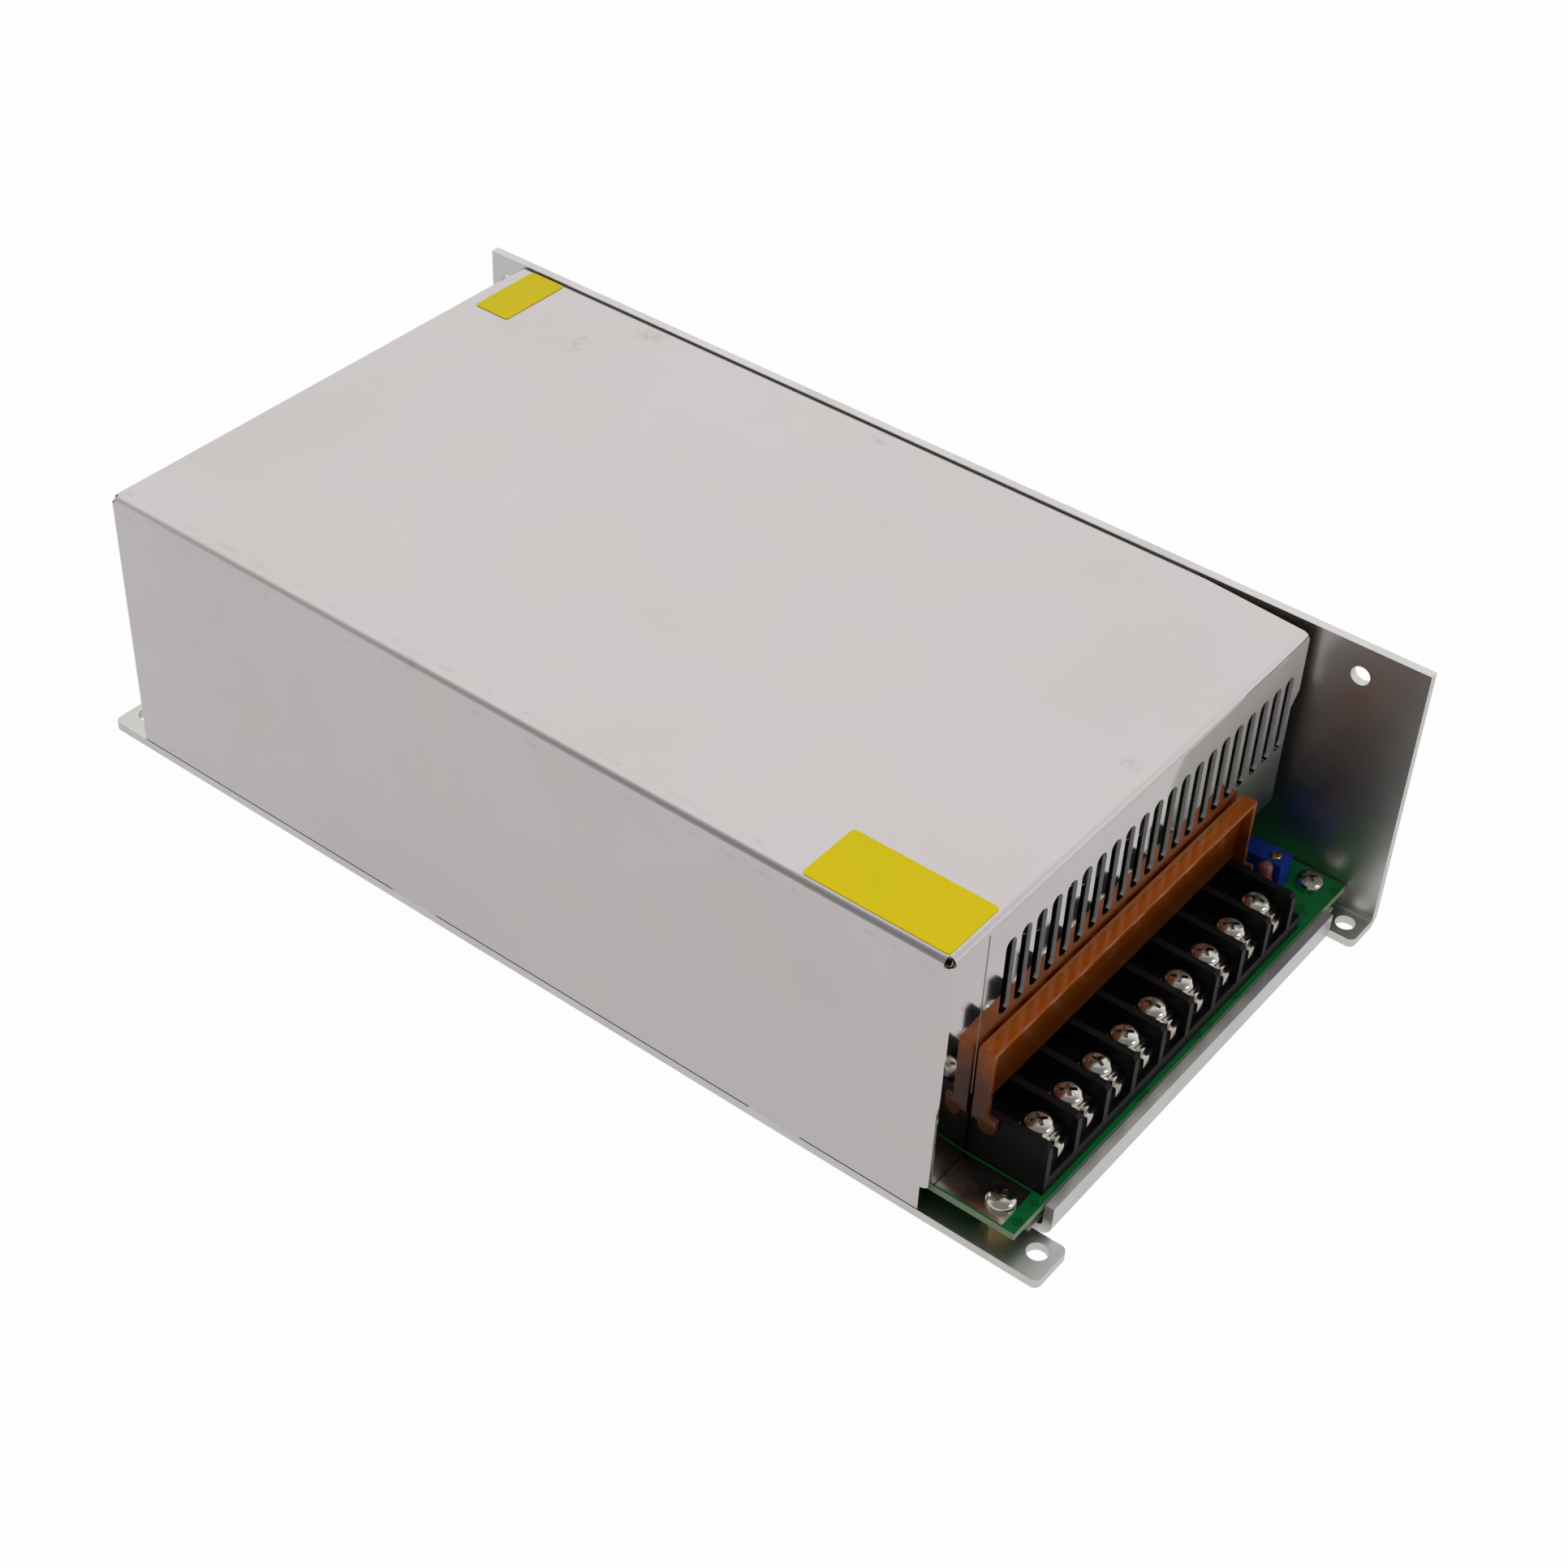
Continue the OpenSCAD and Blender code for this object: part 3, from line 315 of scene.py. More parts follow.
def flaw(tree, name, coords, **values):
    """One shared flaw placed in a material."""
    made = put(tree, "ShaderNodeGroup", node_tree=flaws[name])
    tree.links.new(coords, made.inputs["Vector"])
    for label, value in values.items():
        made.inputs[label.replace("_", " ").title()].default_value = value
    return made.outputs


print("shared flaws:", sorted(flaws))

# %% [markdown]
# A material starts as a Principled shader with its plain numbers set on its own sockets.
# A relief helper turns a height in millimetres into a normal, so the depth of each mark is a real size.

# %% Material helpers
finishes = {}


def finish(slot, **plain):
    """A new material for a slot: its tree, its shader and its object coordinates."""
    made = bpy.data.materials.new(slot)
    made.use_nodes = True
    tree = made.node_tree
    shader = tree.nodes["Principled BSDF"]
    for name, value in plain.items():
        shader.inputs[name.replace("_", " ").title().replace("Ior", "IOR")].default_value = value
    finishes[slot] = made
    return tree, shader, put(tree, "ShaderNodeTexCoord").outputs["Object"]


def join(tree, shader, **links):
    """Links values to the shader's sockets."""
    for name, value in links.items():
        tree.links.new(value, shader.inputs[name.replace("_", " ").title()])


def relief(tree, height, depth_mm, under=None):
    """A normal from a height between 0 and 1 that stands for a depth in millimetres."""
    sockets = {"Height": height, "Strength": 1.0, "Distance": depth_mm * MM}
    made = put(tree, "ShaderNodeBump", sockets)
    if under is not None:
        tree.links.new(under, made.inputs["Normal"])
    return made.outputs[0]


def facing(tree, axis):
    """How far a surface faces along an axis, either way."""
    normal = put(tree, "ShaderNodeTexCoord").outputs["Normal"]
    return calc(tree, "ABSOLUTE", axes(tree, normal)[axis])


print("material helpers ready")

# %% [markdown]
# The cover is thin plated steel: nearly a mirror, a little warm, with cloudy smears where hands held it.
# Along the long top fold the press has rubbed the plating, which shows as a broken darker line.
# A picture could paint these, but masks worked out from the object's own coordinates fit any view.
# On the top a point's distance from the fold is its run in X, and on the wall it is its drop in Z,
# so the sum of the two is the distance along the sheet on both sides.

# %% Plated cover sheet
FOLD_X = cad_box[0].x
FOLD_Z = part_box("top_cover")[1].z
FLAP_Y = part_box("top_cover")[0].y
RUB_FROM = 2.4 * MM
RUB_TO = 4.2 * MM
RUB_ENTERS = 0.5 * MM
RUB_LEAVES = 0.9 * MM
SCUFF_SPOTS = ((43, 80, 5.0), (57, 70, 5.0), (57, 7, 3.5), (1, -90, 3.0), (-62, 30, 4.0))
FLAP_BACK_MM = (1.2, 1.4)
FLAP_SIDE_MM = (4.0, 4.5)
# Painted shade: past this depth the slot walls are painted near black, for the dark inside of the slot.
SHADE_FROM_MM = (0.70, 0.85)
PLATE_COOL = (0.655, 0.625, 0.622)
PLATE_WARM = (0.668, 0.618, 0.612)
PLATE_SMEARED = (0.640, 0.592, 0.590)
PLATE_RUBBED = (0.40, 0.36, 0.35)
PLATE_SCUFFED = (0.42, 0.39, 0.38)
EDGE_SHEARED = (0.60, 0.59, 0.57)
# Painted shade for the deep part of the slot walls.
EDGE_PAINTED_SHADE = (0.03, 0.03, 0.03)


def fold_rub(tree, coords):
    """A broken band on both sides of the long top fold."""
    apart = axes(tree, coords)
    run = calc(tree, "SUBTRACT", apart["X"], FOLD_X)
    drop = calc(tree, "SUBTRACT", FOLD_Z, apart["Z"])
    along_sheet = plus(tree, run, drop)
    enter = span(tree, along_sheet, RUB_FROM, RUB_FROM + RUB_ENTERS)
    leave = span(tree, along_sheet, RUB_TO - RUB_LEAVES, RUB_TO, 1.0, 0.0)
    broken = span(tree, noise(tree, coords, 260.0, 3.0), 0.46, 0.66)
    return times(tree, times(tree, enter, leave), broken)


def scuff_spots(tree, coords, level):
    """Small smudges at named places on one level."""
    total = 0.0
    ragged = span(tree, noise(tree, coords, 420.0, 4.0), 0.40, 0.62)
    for x, y, reach in SCUFF_SPOTS:
        away = measure(tree, "DISTANCE", coords, (x * MM, y * MM, level))
        spot = span(tree, away, 0.2 * reach * MM, reach * MM, 1.0, 0.0)
        total = calc(tree, "MAXIMUM", spot, total)
    return times(tree, total, ragged)


def past(start, ends_mm):
    """Two places some millimetres past a start."""
    return [start + end * MM for end in ends_mm]


def cut_edges(tree, coords):
    """The walls of the front slots: a bright sheared part near the face, and behind it a near-black painted
    shade for the dark inside of the slot.
    """
    sideways = span(tree, facing(tree, "X"), 0.55, 0.75)
    apart = axes(tree, coords)
    within = span(tree, apart["Y"], *past(FLAP_Y, FLAP_BACK_MM), 1.0, 0.0)
    inner = span(tree, apart["X"], *past(FOLD_X, FLAP_SIDE_MM))
    slot_shade = span(tree, apart["Y"], *past(FLAP_Y, SHADE_FROM_MM))
    return times(tree, sideways, times(tree, within, inner)), slot_shade


def cover_sheet():
    tree, shader, coords = finish("cover_sheet")
    sheared, slot_shade = cut_edges(tree, coords)
    marks = flaw(tree, "handling_marks", coords, smear_scale=16.0, scuff_scale=110.0)
    lines = flaw(tree, "rolled_lines", coords)["Lines"]
    rub = times(tree, fold_rub(tree, coords), 0.5)
    worn = calc(tree, "MAXIMUM", rub, scuff_spots(tree, coords, FOLD_Z))
    tint = span(tree, noise(tree, coords, 34.0, 2.0), 0.35, 0.7)
    colour = blend_colour(tree, tint, PLATE_COOL, PLATE_WARM)
    colour = blend_colour(tree, marks["Smears"], colour, PLATE_SMEARED)
    colour = blend_colour(tree, times(tree, worn, 0.34), colour, PLATE_RUBBED)
    colour = blend_colour(tree, times(tree, marks["Scuffs"], 0.16), colour, PLATE_SCUFFED)
    # Deeper in, the slot walls take a near-black colour: painted shade for the dark inside of the slot.
    colour = blend_colour(tree, sheared, colour, blend_colour(tree, slot_shade, EDGE_SHEARED, EDGE_PAINTED_SHADE))
    dull = plus(tree, span(tree, marks["Smears"], 0.0, 1.0, 0.055, 0.085), times(tree, worn, 0.10))
    dull = plus(tree, dull, times(tree, sheared, 0.50))
    waves = noise(tree, coords, 26.0, 1.0)
    normal = relief(tree, lines, 0.0003, relief(tree, waves, 0.06))
    plated = span(tree, sheared, 0.0, 1.0, 1.0, 0.25)
    join(tree, shader, base_color=colour, roughness=dull, metallic=plated, normal=normal)


cover_sheet()
print("cover finish: rub", round(RUB_FROM / MM, 1), "to", round(RUB_TO / MM, 1), "mm from the fold")

# %% [markdown]
# The tray is bare rolled aluminium, thicker and duller than the cover, with drawn lines along its length.
# Its blurred shine is what turns the tall wall dark behind the terminals and green near the board.
# The lines are a noise drawn out along one axis, because a picture of rolled metal would repeat.

# %% Rolled aluminium tray
ALUMINIUM_DEEP = (0.735, 0.720, 0.705)
ALUMINIUM_PALE = (0.765, 0.750, 0.735)
ALUMINIUM_SMEARED = (0.63, 0.61, 0.585)


def chassis_sheet():
    tree, shader, coords = finish("chassis_sheet", metallic=1.0)
    marks = flaw(tree, "handling_marks", coords, smear_scale=30.0, scuff_scale=150.0)
    lines = flaw(tree, "rolled_lines", coords, across=3200.0, along=45.0)["Lines"]
    colour = blend_colour(tree, span(tree, lines, 0.3, 0.7), ALUMINIUM_DEEP, ALUMINIUM_PALE)
    colour = blend_colour(tree, times(tree, marks["Smears"], 0.5), colour, ALUMINIUM_SMEARED)
    dull = plus(tree, span(tree, lines, 0.2, 0.8, 0.34, 0.37), times(tree, marks["Smears"], 0.06))
    normal = relief(tree, marks["Scuffs"], -0.0006, relief(tree, lines, 0.0001))
    join(tree, shader, base_color=colour, roughness=dull, normal=normal)


chassis_sheet()
print("tray finish ready")

# %% [markdown]
# Screws, clamping plates and clips are plated or turned metal, all the same idea with other numbers:
# a metal colour that darkens in patches, a roughness that follows the patches, and a trace of tool marks.
# Each could be set up by hand, but one function and a table keep them alike.

# %% Turned and plated metals
METALS = {
    "steel": ((0.70, 0.67, 0.61), (0.52, 0.49, 0.44), 0.15, 420.0),
    "plated_brass": ((0.68, 0.63, 0.55), (0.42, 0.33, 0.25), 0.20, 150.0),
    "brass": ((0.72, 0.52, 0.22), (0.50, 0.34, 0.13), 0.24, 800.0),
    "copper": ((0.72, 0.34, 0.17), (0.50, 0.20, 0.09), 0.20, 500.0),
}


def metal(slot, bright, dark, rough, scale):
    """A metal that darkens and dulls in patches of that scale."""
    tree, shader, coords = finish(slot, metallic=1.0)
    patches = span(tree, noise(tree, coords, scale, 3.0), 0.40, 0.70)
    scratches = flaw(tree, "rolled_lines", coords, across=5200.0, along=900.0)["Lines"]
    colour = blend_colour(tree, times(tree, patches, 0.8), bright, dark)
    dull = span(tree, patches, 0.0, 1.0, rough, rough + 0.12)
    join(tree, shader, base_color=colour, roughness=dull, normal=relief(tree, scratches, 0.0003))


for slot, values in METALS.items():
    metal(slot, *values)
print("metals:", sorted(METALS))

# %% [markdown]
# Moulded and coated parts differ in colour, gloss and grain. A table holds those, and one function
# builds them: the flow of the melt shifts the colour slightly, fingers leave dull smears,
# and the mould's matt skin is a very small relief.

# %% Moulded and coated parts
PLASTICS = {
    "black_plastic": ((0.0045, 0.0042, 0.0048), (0.0075, 0.0070, 0.0076), 0.40, 0.004),
    "blue_plastic": ((0.006, 0.030, 0.225), (0.010, 0.045, 0.290), 0.34, 0.004),
    "red_plastic": ((0.40, 0.015, 0.012), (0.48, 0.025, 0.018), 0.38, 0.005),
    "capacitor_sleeve": ((0.010, 0.012, 0.020), (0.016, 0.018, 0.030), 0.30, 0.010),
    "ferrite": ((0.020, 0.020, 0.022), (0.036, 0.035, 0.036), 0.55, 0.020),
    "ferrite_yellow": ((0.56, 0.40, 0.04), (0.64, 0.47, 0.07), 0.50, 0.012),
    "winding_tape": ((0.62, 0.42, 0.05), (0.70, 0.50, 0.09), 0.33, 0.006),
    "film_yellow": ((0.60, 0.44, 0.06), (0.68, 0.51, 0.10), 0.40, 0.006),
    "ceramic_green": ((0.035, 0.110, 0.055), (0.055, 0.150, 0.080), 0.48, 0.012),
    "pale_film": ((0.66, 0.66, 0.60), (0.73, 0.73, 0.68), 0.42, 0.003),
}


def handled(tree, coords, flow, rough, spread, **scales):
    """A roughness that follows the flow of the melt, with duller smears over it."""
    smears = flaw(tree, "handling_marks", coords, **scales)["Smears"]
    return plus(tree, times(tree, smears, 0.10), span(tree, flow, 0.0, 1.0, rough, rough + spread))


def plastic(slot, deep, pale, rough, grain_mm):
    """A moulded part with a matt skin of that depth."""
    tree, shader, coords = finish(slot, specular_ior_level=0.15)
    skin = flaw(tree, "moulded_skin", coords)
    colour = blend_colour(tree, span(tree, skin["Flow"], 0.3, 0.7), deep, pale)
    dull = handled(tree, coords, skin["Flow"], rough, 0.08, smear_scale=120.0, scuff_scale=400.0)
    join(tree, shader, base_color=colour, roughness=dull, normal=relief(tree, skin["Grain"], grain_mm))


for slot, values in PLASTICS.items():
    plastic(slot, *values)
print("moulded parts:", sorted(PLASTICS))

# %% [markdown]
# The fuse and the lamp let light through: the fuse is plain glass and the lamp a pink diffusing lens.
# A tinted volume could colour them, but on parts this small a tinted transmission looks the same.

# %% Clear parts
CLEARS = {
    "fuse_glass": ((0.95, 0.97, 0.96), (0.98, 0.99, 0.98), 0.03, 1.50, 1.0),
    "lamp_lens": ((0.34, 0.10, 0.09), (0.42, 0.14, 0.12), 0.14, 1.54, 0.5),
}
CLEAR_SKIN = {"grain_scale": 2600.0, "flow_scale": 90.0}
CLEAR_GRAIN_MM = 0.002


def clear(slot, deep, pale, rough, index, passed):
    """A part that passes a share of the light and bends it by its index."""
    tree, shader, coords = finish(slot, transmission_weight=passed, ior=index)
    skin = flaw(tree, "moulded_skin", coords, **CLEAR_SKIN)
    colour = blend_colour(tree, span(tree, skin["Flow"], 0.3, 0.7), deep, pale)
    dull = handled(tree, coords, skin["Flow"], rough, 0.04, smear_scale=60.0, scuff_scale=240.0)
    join(tree, shader, base_color=colour, roughness=dull, normal=relief(tree, skin["Grain"], CLEAR_GRAIN_MM))


for slot, values in CLEARS.items():
    clear(slot, *values)
print("clear parts:", sorted(CLEARS))

# %% [markdown]
# The lid is moulded in clear amber. It is lit from its free edge and stands before black plastic at its
# foot, so it glows orange above and sinks to a dark red brown near the hinge, with faint streaks of flow.
# One amber all over would come out even, so the glow above and the dark near the hinge are painted light and
# shade in the colour, which changes with the height on the lid.
# Object coordinates move with the lid, so the painted glow stays at its free edge when it closes.

# %% Amber lid
LID_FOOT, LID_HEAD = (corner.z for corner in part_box("terminal_cover"))
PAINTED_GLOW_FROM = 0.42
FLOW_STREAKS = (22.0, 420.0, 520.0)
AMBER_PAINTED_LIT = ((0.78, 0.220, 0.008), (0.70, 0.184, 0.007))
AMBER_PAINTED_SHADE = ((0.27, 0.060, 0.005), (0.23, 0.048, 0.004))


def amber():
    tree, shader, coords = finish("amber_plastic", transmission_weight=0.66, ior=1.50,
                                  specular_ior_level=0.16)
    # Painted light and shade: the lid is painted as lit amber at its free edge and as shaded amber towards
    # its hinge.
    glow = span(tree, axes(tree, coords)["Z"], LID_FOOT + PAINTED_GLOW_FROM * (LID_HEAD - LID_FOOT), LID_HEAD)
    streaks = span(tree, noise(tree, stretch(tree, coords, FLOW_STREAKS), 1.0, 3.0), 0.35, 0.70)
    warm = blend_colour(tree, streaks, *AMBER_PAINTED_LIT)
    deep = blend_colour(tree, streaks, *AMBER_PAINTED_SHADE)
    skin = flaw(tree, "moulded_skin", coords, **CLEAR_SKIN)
    dull = span(tree, skin["Flow"], 0.3, 0.7, 0.10, 0.18)
    join(tree, shader, base_color=blend_colour(tree, glow, deep, warm), roughness=dull,
         normal=relief(tree, streaks, 0.0002))


amber()
print("amber from", round(LID_FOOT / MM, 1), "to", round(LID_HEAD / MM, 1), "mm")

# %% [markdown]
# The board is glass cloth under a green lacquer. Copper runs show through the lacquer as paler green paths,
# with a small step at their edges, the cloth shows as a faint weave, and the sawn edges are bare and pale.
# A layout could be drawn run by run, but a cell pattern gives believable runs all over.

# %% Green board
LACQUER = (0.003, 0.095, 0.022)
LACQUER_ON_CLOTH = (0.004, 0.112, 0.027)
LACQUER_ON_COPPER = (0.006, 0.155, 0.038)
SAWN_EDGE = (0.23, 0.30, 0.19)


def board():
    tree, shader, coords = finish("board", coat_weight=0.14, coat_roughness=0.12, specular_ior_level=0.12)
    skin = flaw(tree, "moulded_skin", coords, grain_scale=3000.0, flow_scale=120.0)
    cells = put(tree, "ShaderNodeTexVoronoi", {"Vector": coords, "Scale": 160.0, "Randomness": 0.85},
                feature="F1", distance="MANHATTAN")
    runs = span(tree, cells.outputs["Distance"], 0.34, 0.37)
    threads = {"Vector": coords, "Scale": 260.0, "Distortion": 0.6}
    weave = [put(tree, "ShaderNodeTexWave", threads, bands_direction=way).outputs["Fac"] for way in "XY"]
    colour = blend_colour(tree, times(tree, times(tree, *weave), 0.5), LACQUER, LACQUER_ON_CLOTH)
    colour = blend_colour(tree, times(tree, runs, 0.8), colour, LACQUER_ON_COPPER)
    sawn = span(tree, facing(tree, "Z"), 0.3, 0.6, 1.0, 0.0)
    colour = blend_colour(tree, sawn, colour, SAWN_EDGE)
    dull = span(tree, skin["Flow"], 0.2, 0.8, 0.26, 0.38)
    normal = relief(tree, skin["Grain"], 0.002, relief(tree, runs, 0.035))
    join(tree, shader, base_color=colour, roughness=dull, normal=normal)


board()
print("board finish ready")

# %% [markdown]
# The two stickers are yellow coated paper. They are bare, so what shows is the paper itself:
# a slightly uneven ink film, a faint fibre and a soft gloss. One flat yellow would look like plastic.

# %% Yellow sticker paper
INK_GREEN = (0.790, 0.650, 0.003)
INK_WARM = (0.840, 0.650, 0.004)
INK_ON_FIBRE = (0.76, 0.60, 0.02)


def label():
    tree, shader, coords = finish("label", specular_ior_level=0.08)
    fibre = noise(tree, coords, 1800.0, 4.0, 0.65)
    film = span(tree, noise(tree, coords, 70.0, 2.0), 0.3, 0.7)
    ink = blend_colour(tree, film, INK_GREEN, INK_WARM)
    colour = blend_colour(tree, span(tree, fibre, 0.55, 0.75, 0.0, 0.35), ink, INK_ON_FIBRE)
    join(tree, shader, base_color=colour, roughness=span(tree, fibre, 0.3, 0.7, 0.36, 0.46),
         normal=relief(tree, fibre, 0.004))


label()
for piece in nodes.values():
    for place in piece.material_slots:
        place.material = finishes[place.material.name]
print("finishes:", len(finishes), "given to", len(nodes), "nodes")

# %% [markdown]
# Real edges are never knife sharp: a cut sheet has a small burr radius and a mould has a larger one.
# That radius is what catches a line of light, so the main pieces are copied, their loose triangles welded,
# their flat faces joined, and a Bevel modifier rounds what is left. Each copy stands for its node.

# %% Soft edges
SHARP_TURN = math.radians(32)
FLAT_TURN = math.radians(0.6)
WELD = 0.001 * MM
EDGE_STEPS = 2


def merged(mesh):
    """A mesh opened for work, its loose triangles joined at their corners."""
    work = bmesh.new()
    work.from_mesh(mesh)
    bmesh.ops.remove_doubles(work, verts=work.verts, dist=WELD)
    return work


def smoothed(mesh):
    """A mesh made smooth but for its real edges."""
    mesh.shade_smooth()
    mesh.set_sharp_from_angle(angle=SHARP_TURN)
    return mesh


def welded(node):
    """A node's mesh with its triangles joined into whole faces."""
    mesh = nodes[node].data.copy()
    if "custom_normal" in mesh.attributes:
        mesh.attributes.remove(mesh.attributes["custom_normal"])
    work = merged(mesh)
    bmesh.ops.dissolve_limit(work, angle_limit=FLAT_TURN, verts=work.verts, edges=work.edges)
    work.to_mesh(mesh)
    work.free()
    return smoothed(mesh)


def place_piece(name, mesh, body, slot, *stands_for):
    """A finished piece: linked, given its finish, riding on its body and standing for its nodes."""
    piece = bpy.data.objects.new(name, mesh)
    scene.collection.objects.link(piece)
    mesh.materials.clear()
    mesh.materials.append(finishes[slot])
    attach(piece, body)
    if stands_for:
        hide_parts(*stands_for)
    return piece


def round_edges(piece, radius_mm):
    """A Bevel modifier on the sharp edges of an object."""
    edge = piece.modifiers.new("edge_radius", "BEVEL")
    edge.width = radius_mm * MM
    edge.segments = EDGE_STEPS
    edge.limit_method = "ANGLE"
    edge.angle_limit = SHARP_TURN
    return edge


def soften(node, name, body, slot, radius_mm):
    """A copy of a node with rounded edges, in place of it."""
    piece = place_piece(name, welded(node), body, slot, node)
    edge = round_edges(piece, radius_mm)
    edge.miter_outer = "MITER_ARC"
    edge.harden_normals = True
    return piece


SOFT_PIECES = (
    ("top_cover", "cover_shell", "case", "cover_sheet", 0.28),
    ("base_chassis", "tray_shell", "case", "chassis_sheet", 0.25),
    ("terminal_block", "terminal_strip", "case", "black_plastic", 0.22),
    ("terminal_cover", "terminal_lid", "lid", "amber_plastic", 0.16),
    ("trimmer_body", "trimmer_case", "case", "blue_plastic", 0.25),
    ("fan_frame", "fan_housing", "case", "black_plastic", 0.35),
    ("selector_body", "selector_case", "case", "black_plastic", 0.25),
    ("selector_slider", "selector_knob", "selector", "red_plastic", 0.25),
    ("bridge_rectifier", "bridge_package", "case", "black_plastic", 0.40),
    ("switching_transistors", "switch_packages", "case", "black_plastic", 0.40),
    ("output_rectifiers", "rectifier_packages", "case", "black_plastic", 0.40),
    ("film_capacitors", "film_boxes", "case", "film_yellow", 0.60),
    ("control_chip", "chip_package", "case", "black_plastic", 0.15),
    ("control_board", "control_card", "case", "board", 0.10),
    ("heat_sink", "sink_plate", "case", "chassis_sheet", 0.25),
    ("clamp_bar", "pressing_bar", "case", "chassis_sheet", 0.25),
    ("transformer_core", "core_halves", "case", "ferrite", 0.50),
    ("transformer_winding", "coil_tape", "case", "winding_tape", 1.20),
)
for node, name, body, slot, radius in SOFT_PIECES:
    made = soften(node, name, body, slot, radius)
    print(name, "from", node, "with", len(made.data.polygons), "faces")

# %% [markdown]
# Screws come in sets: nine on the terminals, six on the board, four in the cover and four on the fan.
# A screw is a turned part, so its outline is spun about its axis, and a true helix is laid round its shank.
# Rings instead of a helix would look the same from afar,
# but the terminal screws are backed out in use, and then the thread shows.

# %% Turned parts
RIDGE_HALF = 0.42


def closed(work, name):
    """The mesh of finished work."""
    mesh = bpy.data.meshes.new(name)
    work.to_mesh(mesh)
    work.free()
    return mesh


def turned(outline, rounds=32):
    """A mesh spun about Z from (radius, height) pairs in millimetres, from its foot to its head."""
    work = bmesh.new()
    rings = []
    for radius, height in outline:
        turns = [2 * math.pi * k / rounds for k in range(rounds if radius else 1)]
        ring = [(radius * math.cos(t) * MM, radius * math.sin(t) * MM, height * MM) for t in turns]
        rings.append([work.verts.new(place) for place in ring])
    for low, high in zip(rings, rings[1:]):
        for k in range(rounds):
            after = k + 1
            corners = [low[k % len(low)], low[after % len(low)], high[after % len(high)], high[k % len(high)]]
            work.faces.new(list(dict.fromkeys(corners)))
    return closed(work, "turned")


def threaded(radius, core, pitch, length, rounds=20, rows=6):
    """A shank that hangs below z = 0, with a helix of that pitch, in millimetres."""
    outline = [(core, -length + step * pitch / rows) for step in range(int(length / pitch * rows) + 1)]
    mesh = turned([(0, -length)] + outline + [(0, outline[-1][1])], rounds)
    for vertex in mesh.vertices:
        if vertex.co.xy.length:
            turn = math.atan2(vertex.co.y, vertex.co.x) / (2 * math.pi)
            phase = (vertex.co.z / MM / pitch - turn) % 1.0
            ridge = max(0.0, 1.0 - abs(phase - 0.5) / RIDGE_HALF)
            ending = min(1.0, (vertex.co.z / MM + length) / pitch)
            vertex.co.xy *= (core + (radius - core) * ridge * ending) / core
    return mesh


print("turning ready, with a thread ridge", 2 * RIDGE_HALF, "of the pitch wide at its foot")

# %% [markdown]
# A cross recess, a bore or a slot is cut with a tool, as on a machine: a Boolean modifier takes the tool's
# shape out of the work piece, and the result becomes a plain mesh, so nothing live is left behind.
# Building a recess face by face would give the same shape for far more code.

# %% Cutting and joining
def lone(name, mesh):
    """A bare object for a tool or a pattern, taken away again after use."""
    made = bpy.data.objects.new(name, mesh)
    scene.collection.objects.link(made)
    return made


def settled(holder):
    """The plain mesh that an object's modifiers make. The object is then taken away."""
    mesh = bpy.data.meshes.new_from_object(holder.evaluated_get(bpy.context.evaluated_depsgraph_get()))
    bpy.data.objects.remove(holder)
    return mesh


def cut(mesh, *tools):
    """A mesh with each tool's shape taken out of it."""
    holder = lone("work_piece", mesh)
    blades = [lone("tool", tool) for tool in tools]
    for blade in blades:
        step = holder.modifiers.new("cut", "BOOLEAN")
        step.operation = "DIFFERENCE"
        step.object = blade
    made = settled(holder)
    for blade in blades:
        bpy.data.objects.remove(blade)
    return made


def joined(name, *meshes):
    """Several meshes in one, smooth but for their real edges."""
    work = bmesh.new()
    for mesh in meshes:
        work.from_mesh(mesh)
    return smoothed(closed(work, name))


def slab(low, high, narrow=1.0):
    """A box between two corners in millimetres, its foot drawn in by a factor."""
    work = bmesh.new()
    bmesh.ops.create_cube(work, size=1.0)
    low, high = Vector(low) * MM, Vector(high) * MM
    centre = (low + high) / 2
    for vertex in work.verts:
        spread = narrow if vertex.co.z < 0 else 1.0
        vertex.co = Vector((centre.x + vertex.co.x * (high.x - low.x) * spread,
                            centre.y + vertex.co.y * (high.y - low.y) * spread,
                            centre.z + vertex.co.z * (high.z - low.z)))
    return closed(work, "slab")


def rounded(mesh, radius_mm):
    """A mesh with its sharp edges rounded."""
    holder = lone("work_piece", mesh)
    round_edges(holder, radius_mm)
    return settled(holder)


def crossed(solid, wide, thin, low, high, narrow):
    """A solid with a cross cut into it between two heights, its arms narrower at their foot."""
    arms = ((wide, thin), (thin, wide))
    return cut(solid, *[slab((-x, -y, low), (x, y, high), narrow) for x, y in arms])


print("cutting tools ready")

# %% [markdown]
# A pan head has a flat foot, a short wall and a low dome. Its outline is given in shares of its radius
# and height, so that one outline serves every size, and the cross is cut with two blades.

# %% Pan screws
PAN = ((0.0, 0.0), (0.93, 0.0), (1.0, 0.06), (1.0, 0.40), (0.975, 0.56), (0.89, 0.74), (0.75, 0.87),
       (0.55, 0.95), (0.30, 0.99), (0.0, 1.0))
TERMINAL_HEAD = 2.4
BOARD_HEAD = 2.2


def pan_screw(name, head, height, radius, pitch, length):
    """A pan screw whose head stands on z = 0, its cross cut in and its thread below."""
    top = turned([(r * head / 2, h * height) for r, h in PAN], 40)
    top = crossed(top, wide=head * 0.31, thin=head * 0.075, low=height * 0.42, high=height * 1.2, narrow=0.6)
    return joined(name, top, threaded(radius, core=radius * 0.8, pitch=pitch, length=length))


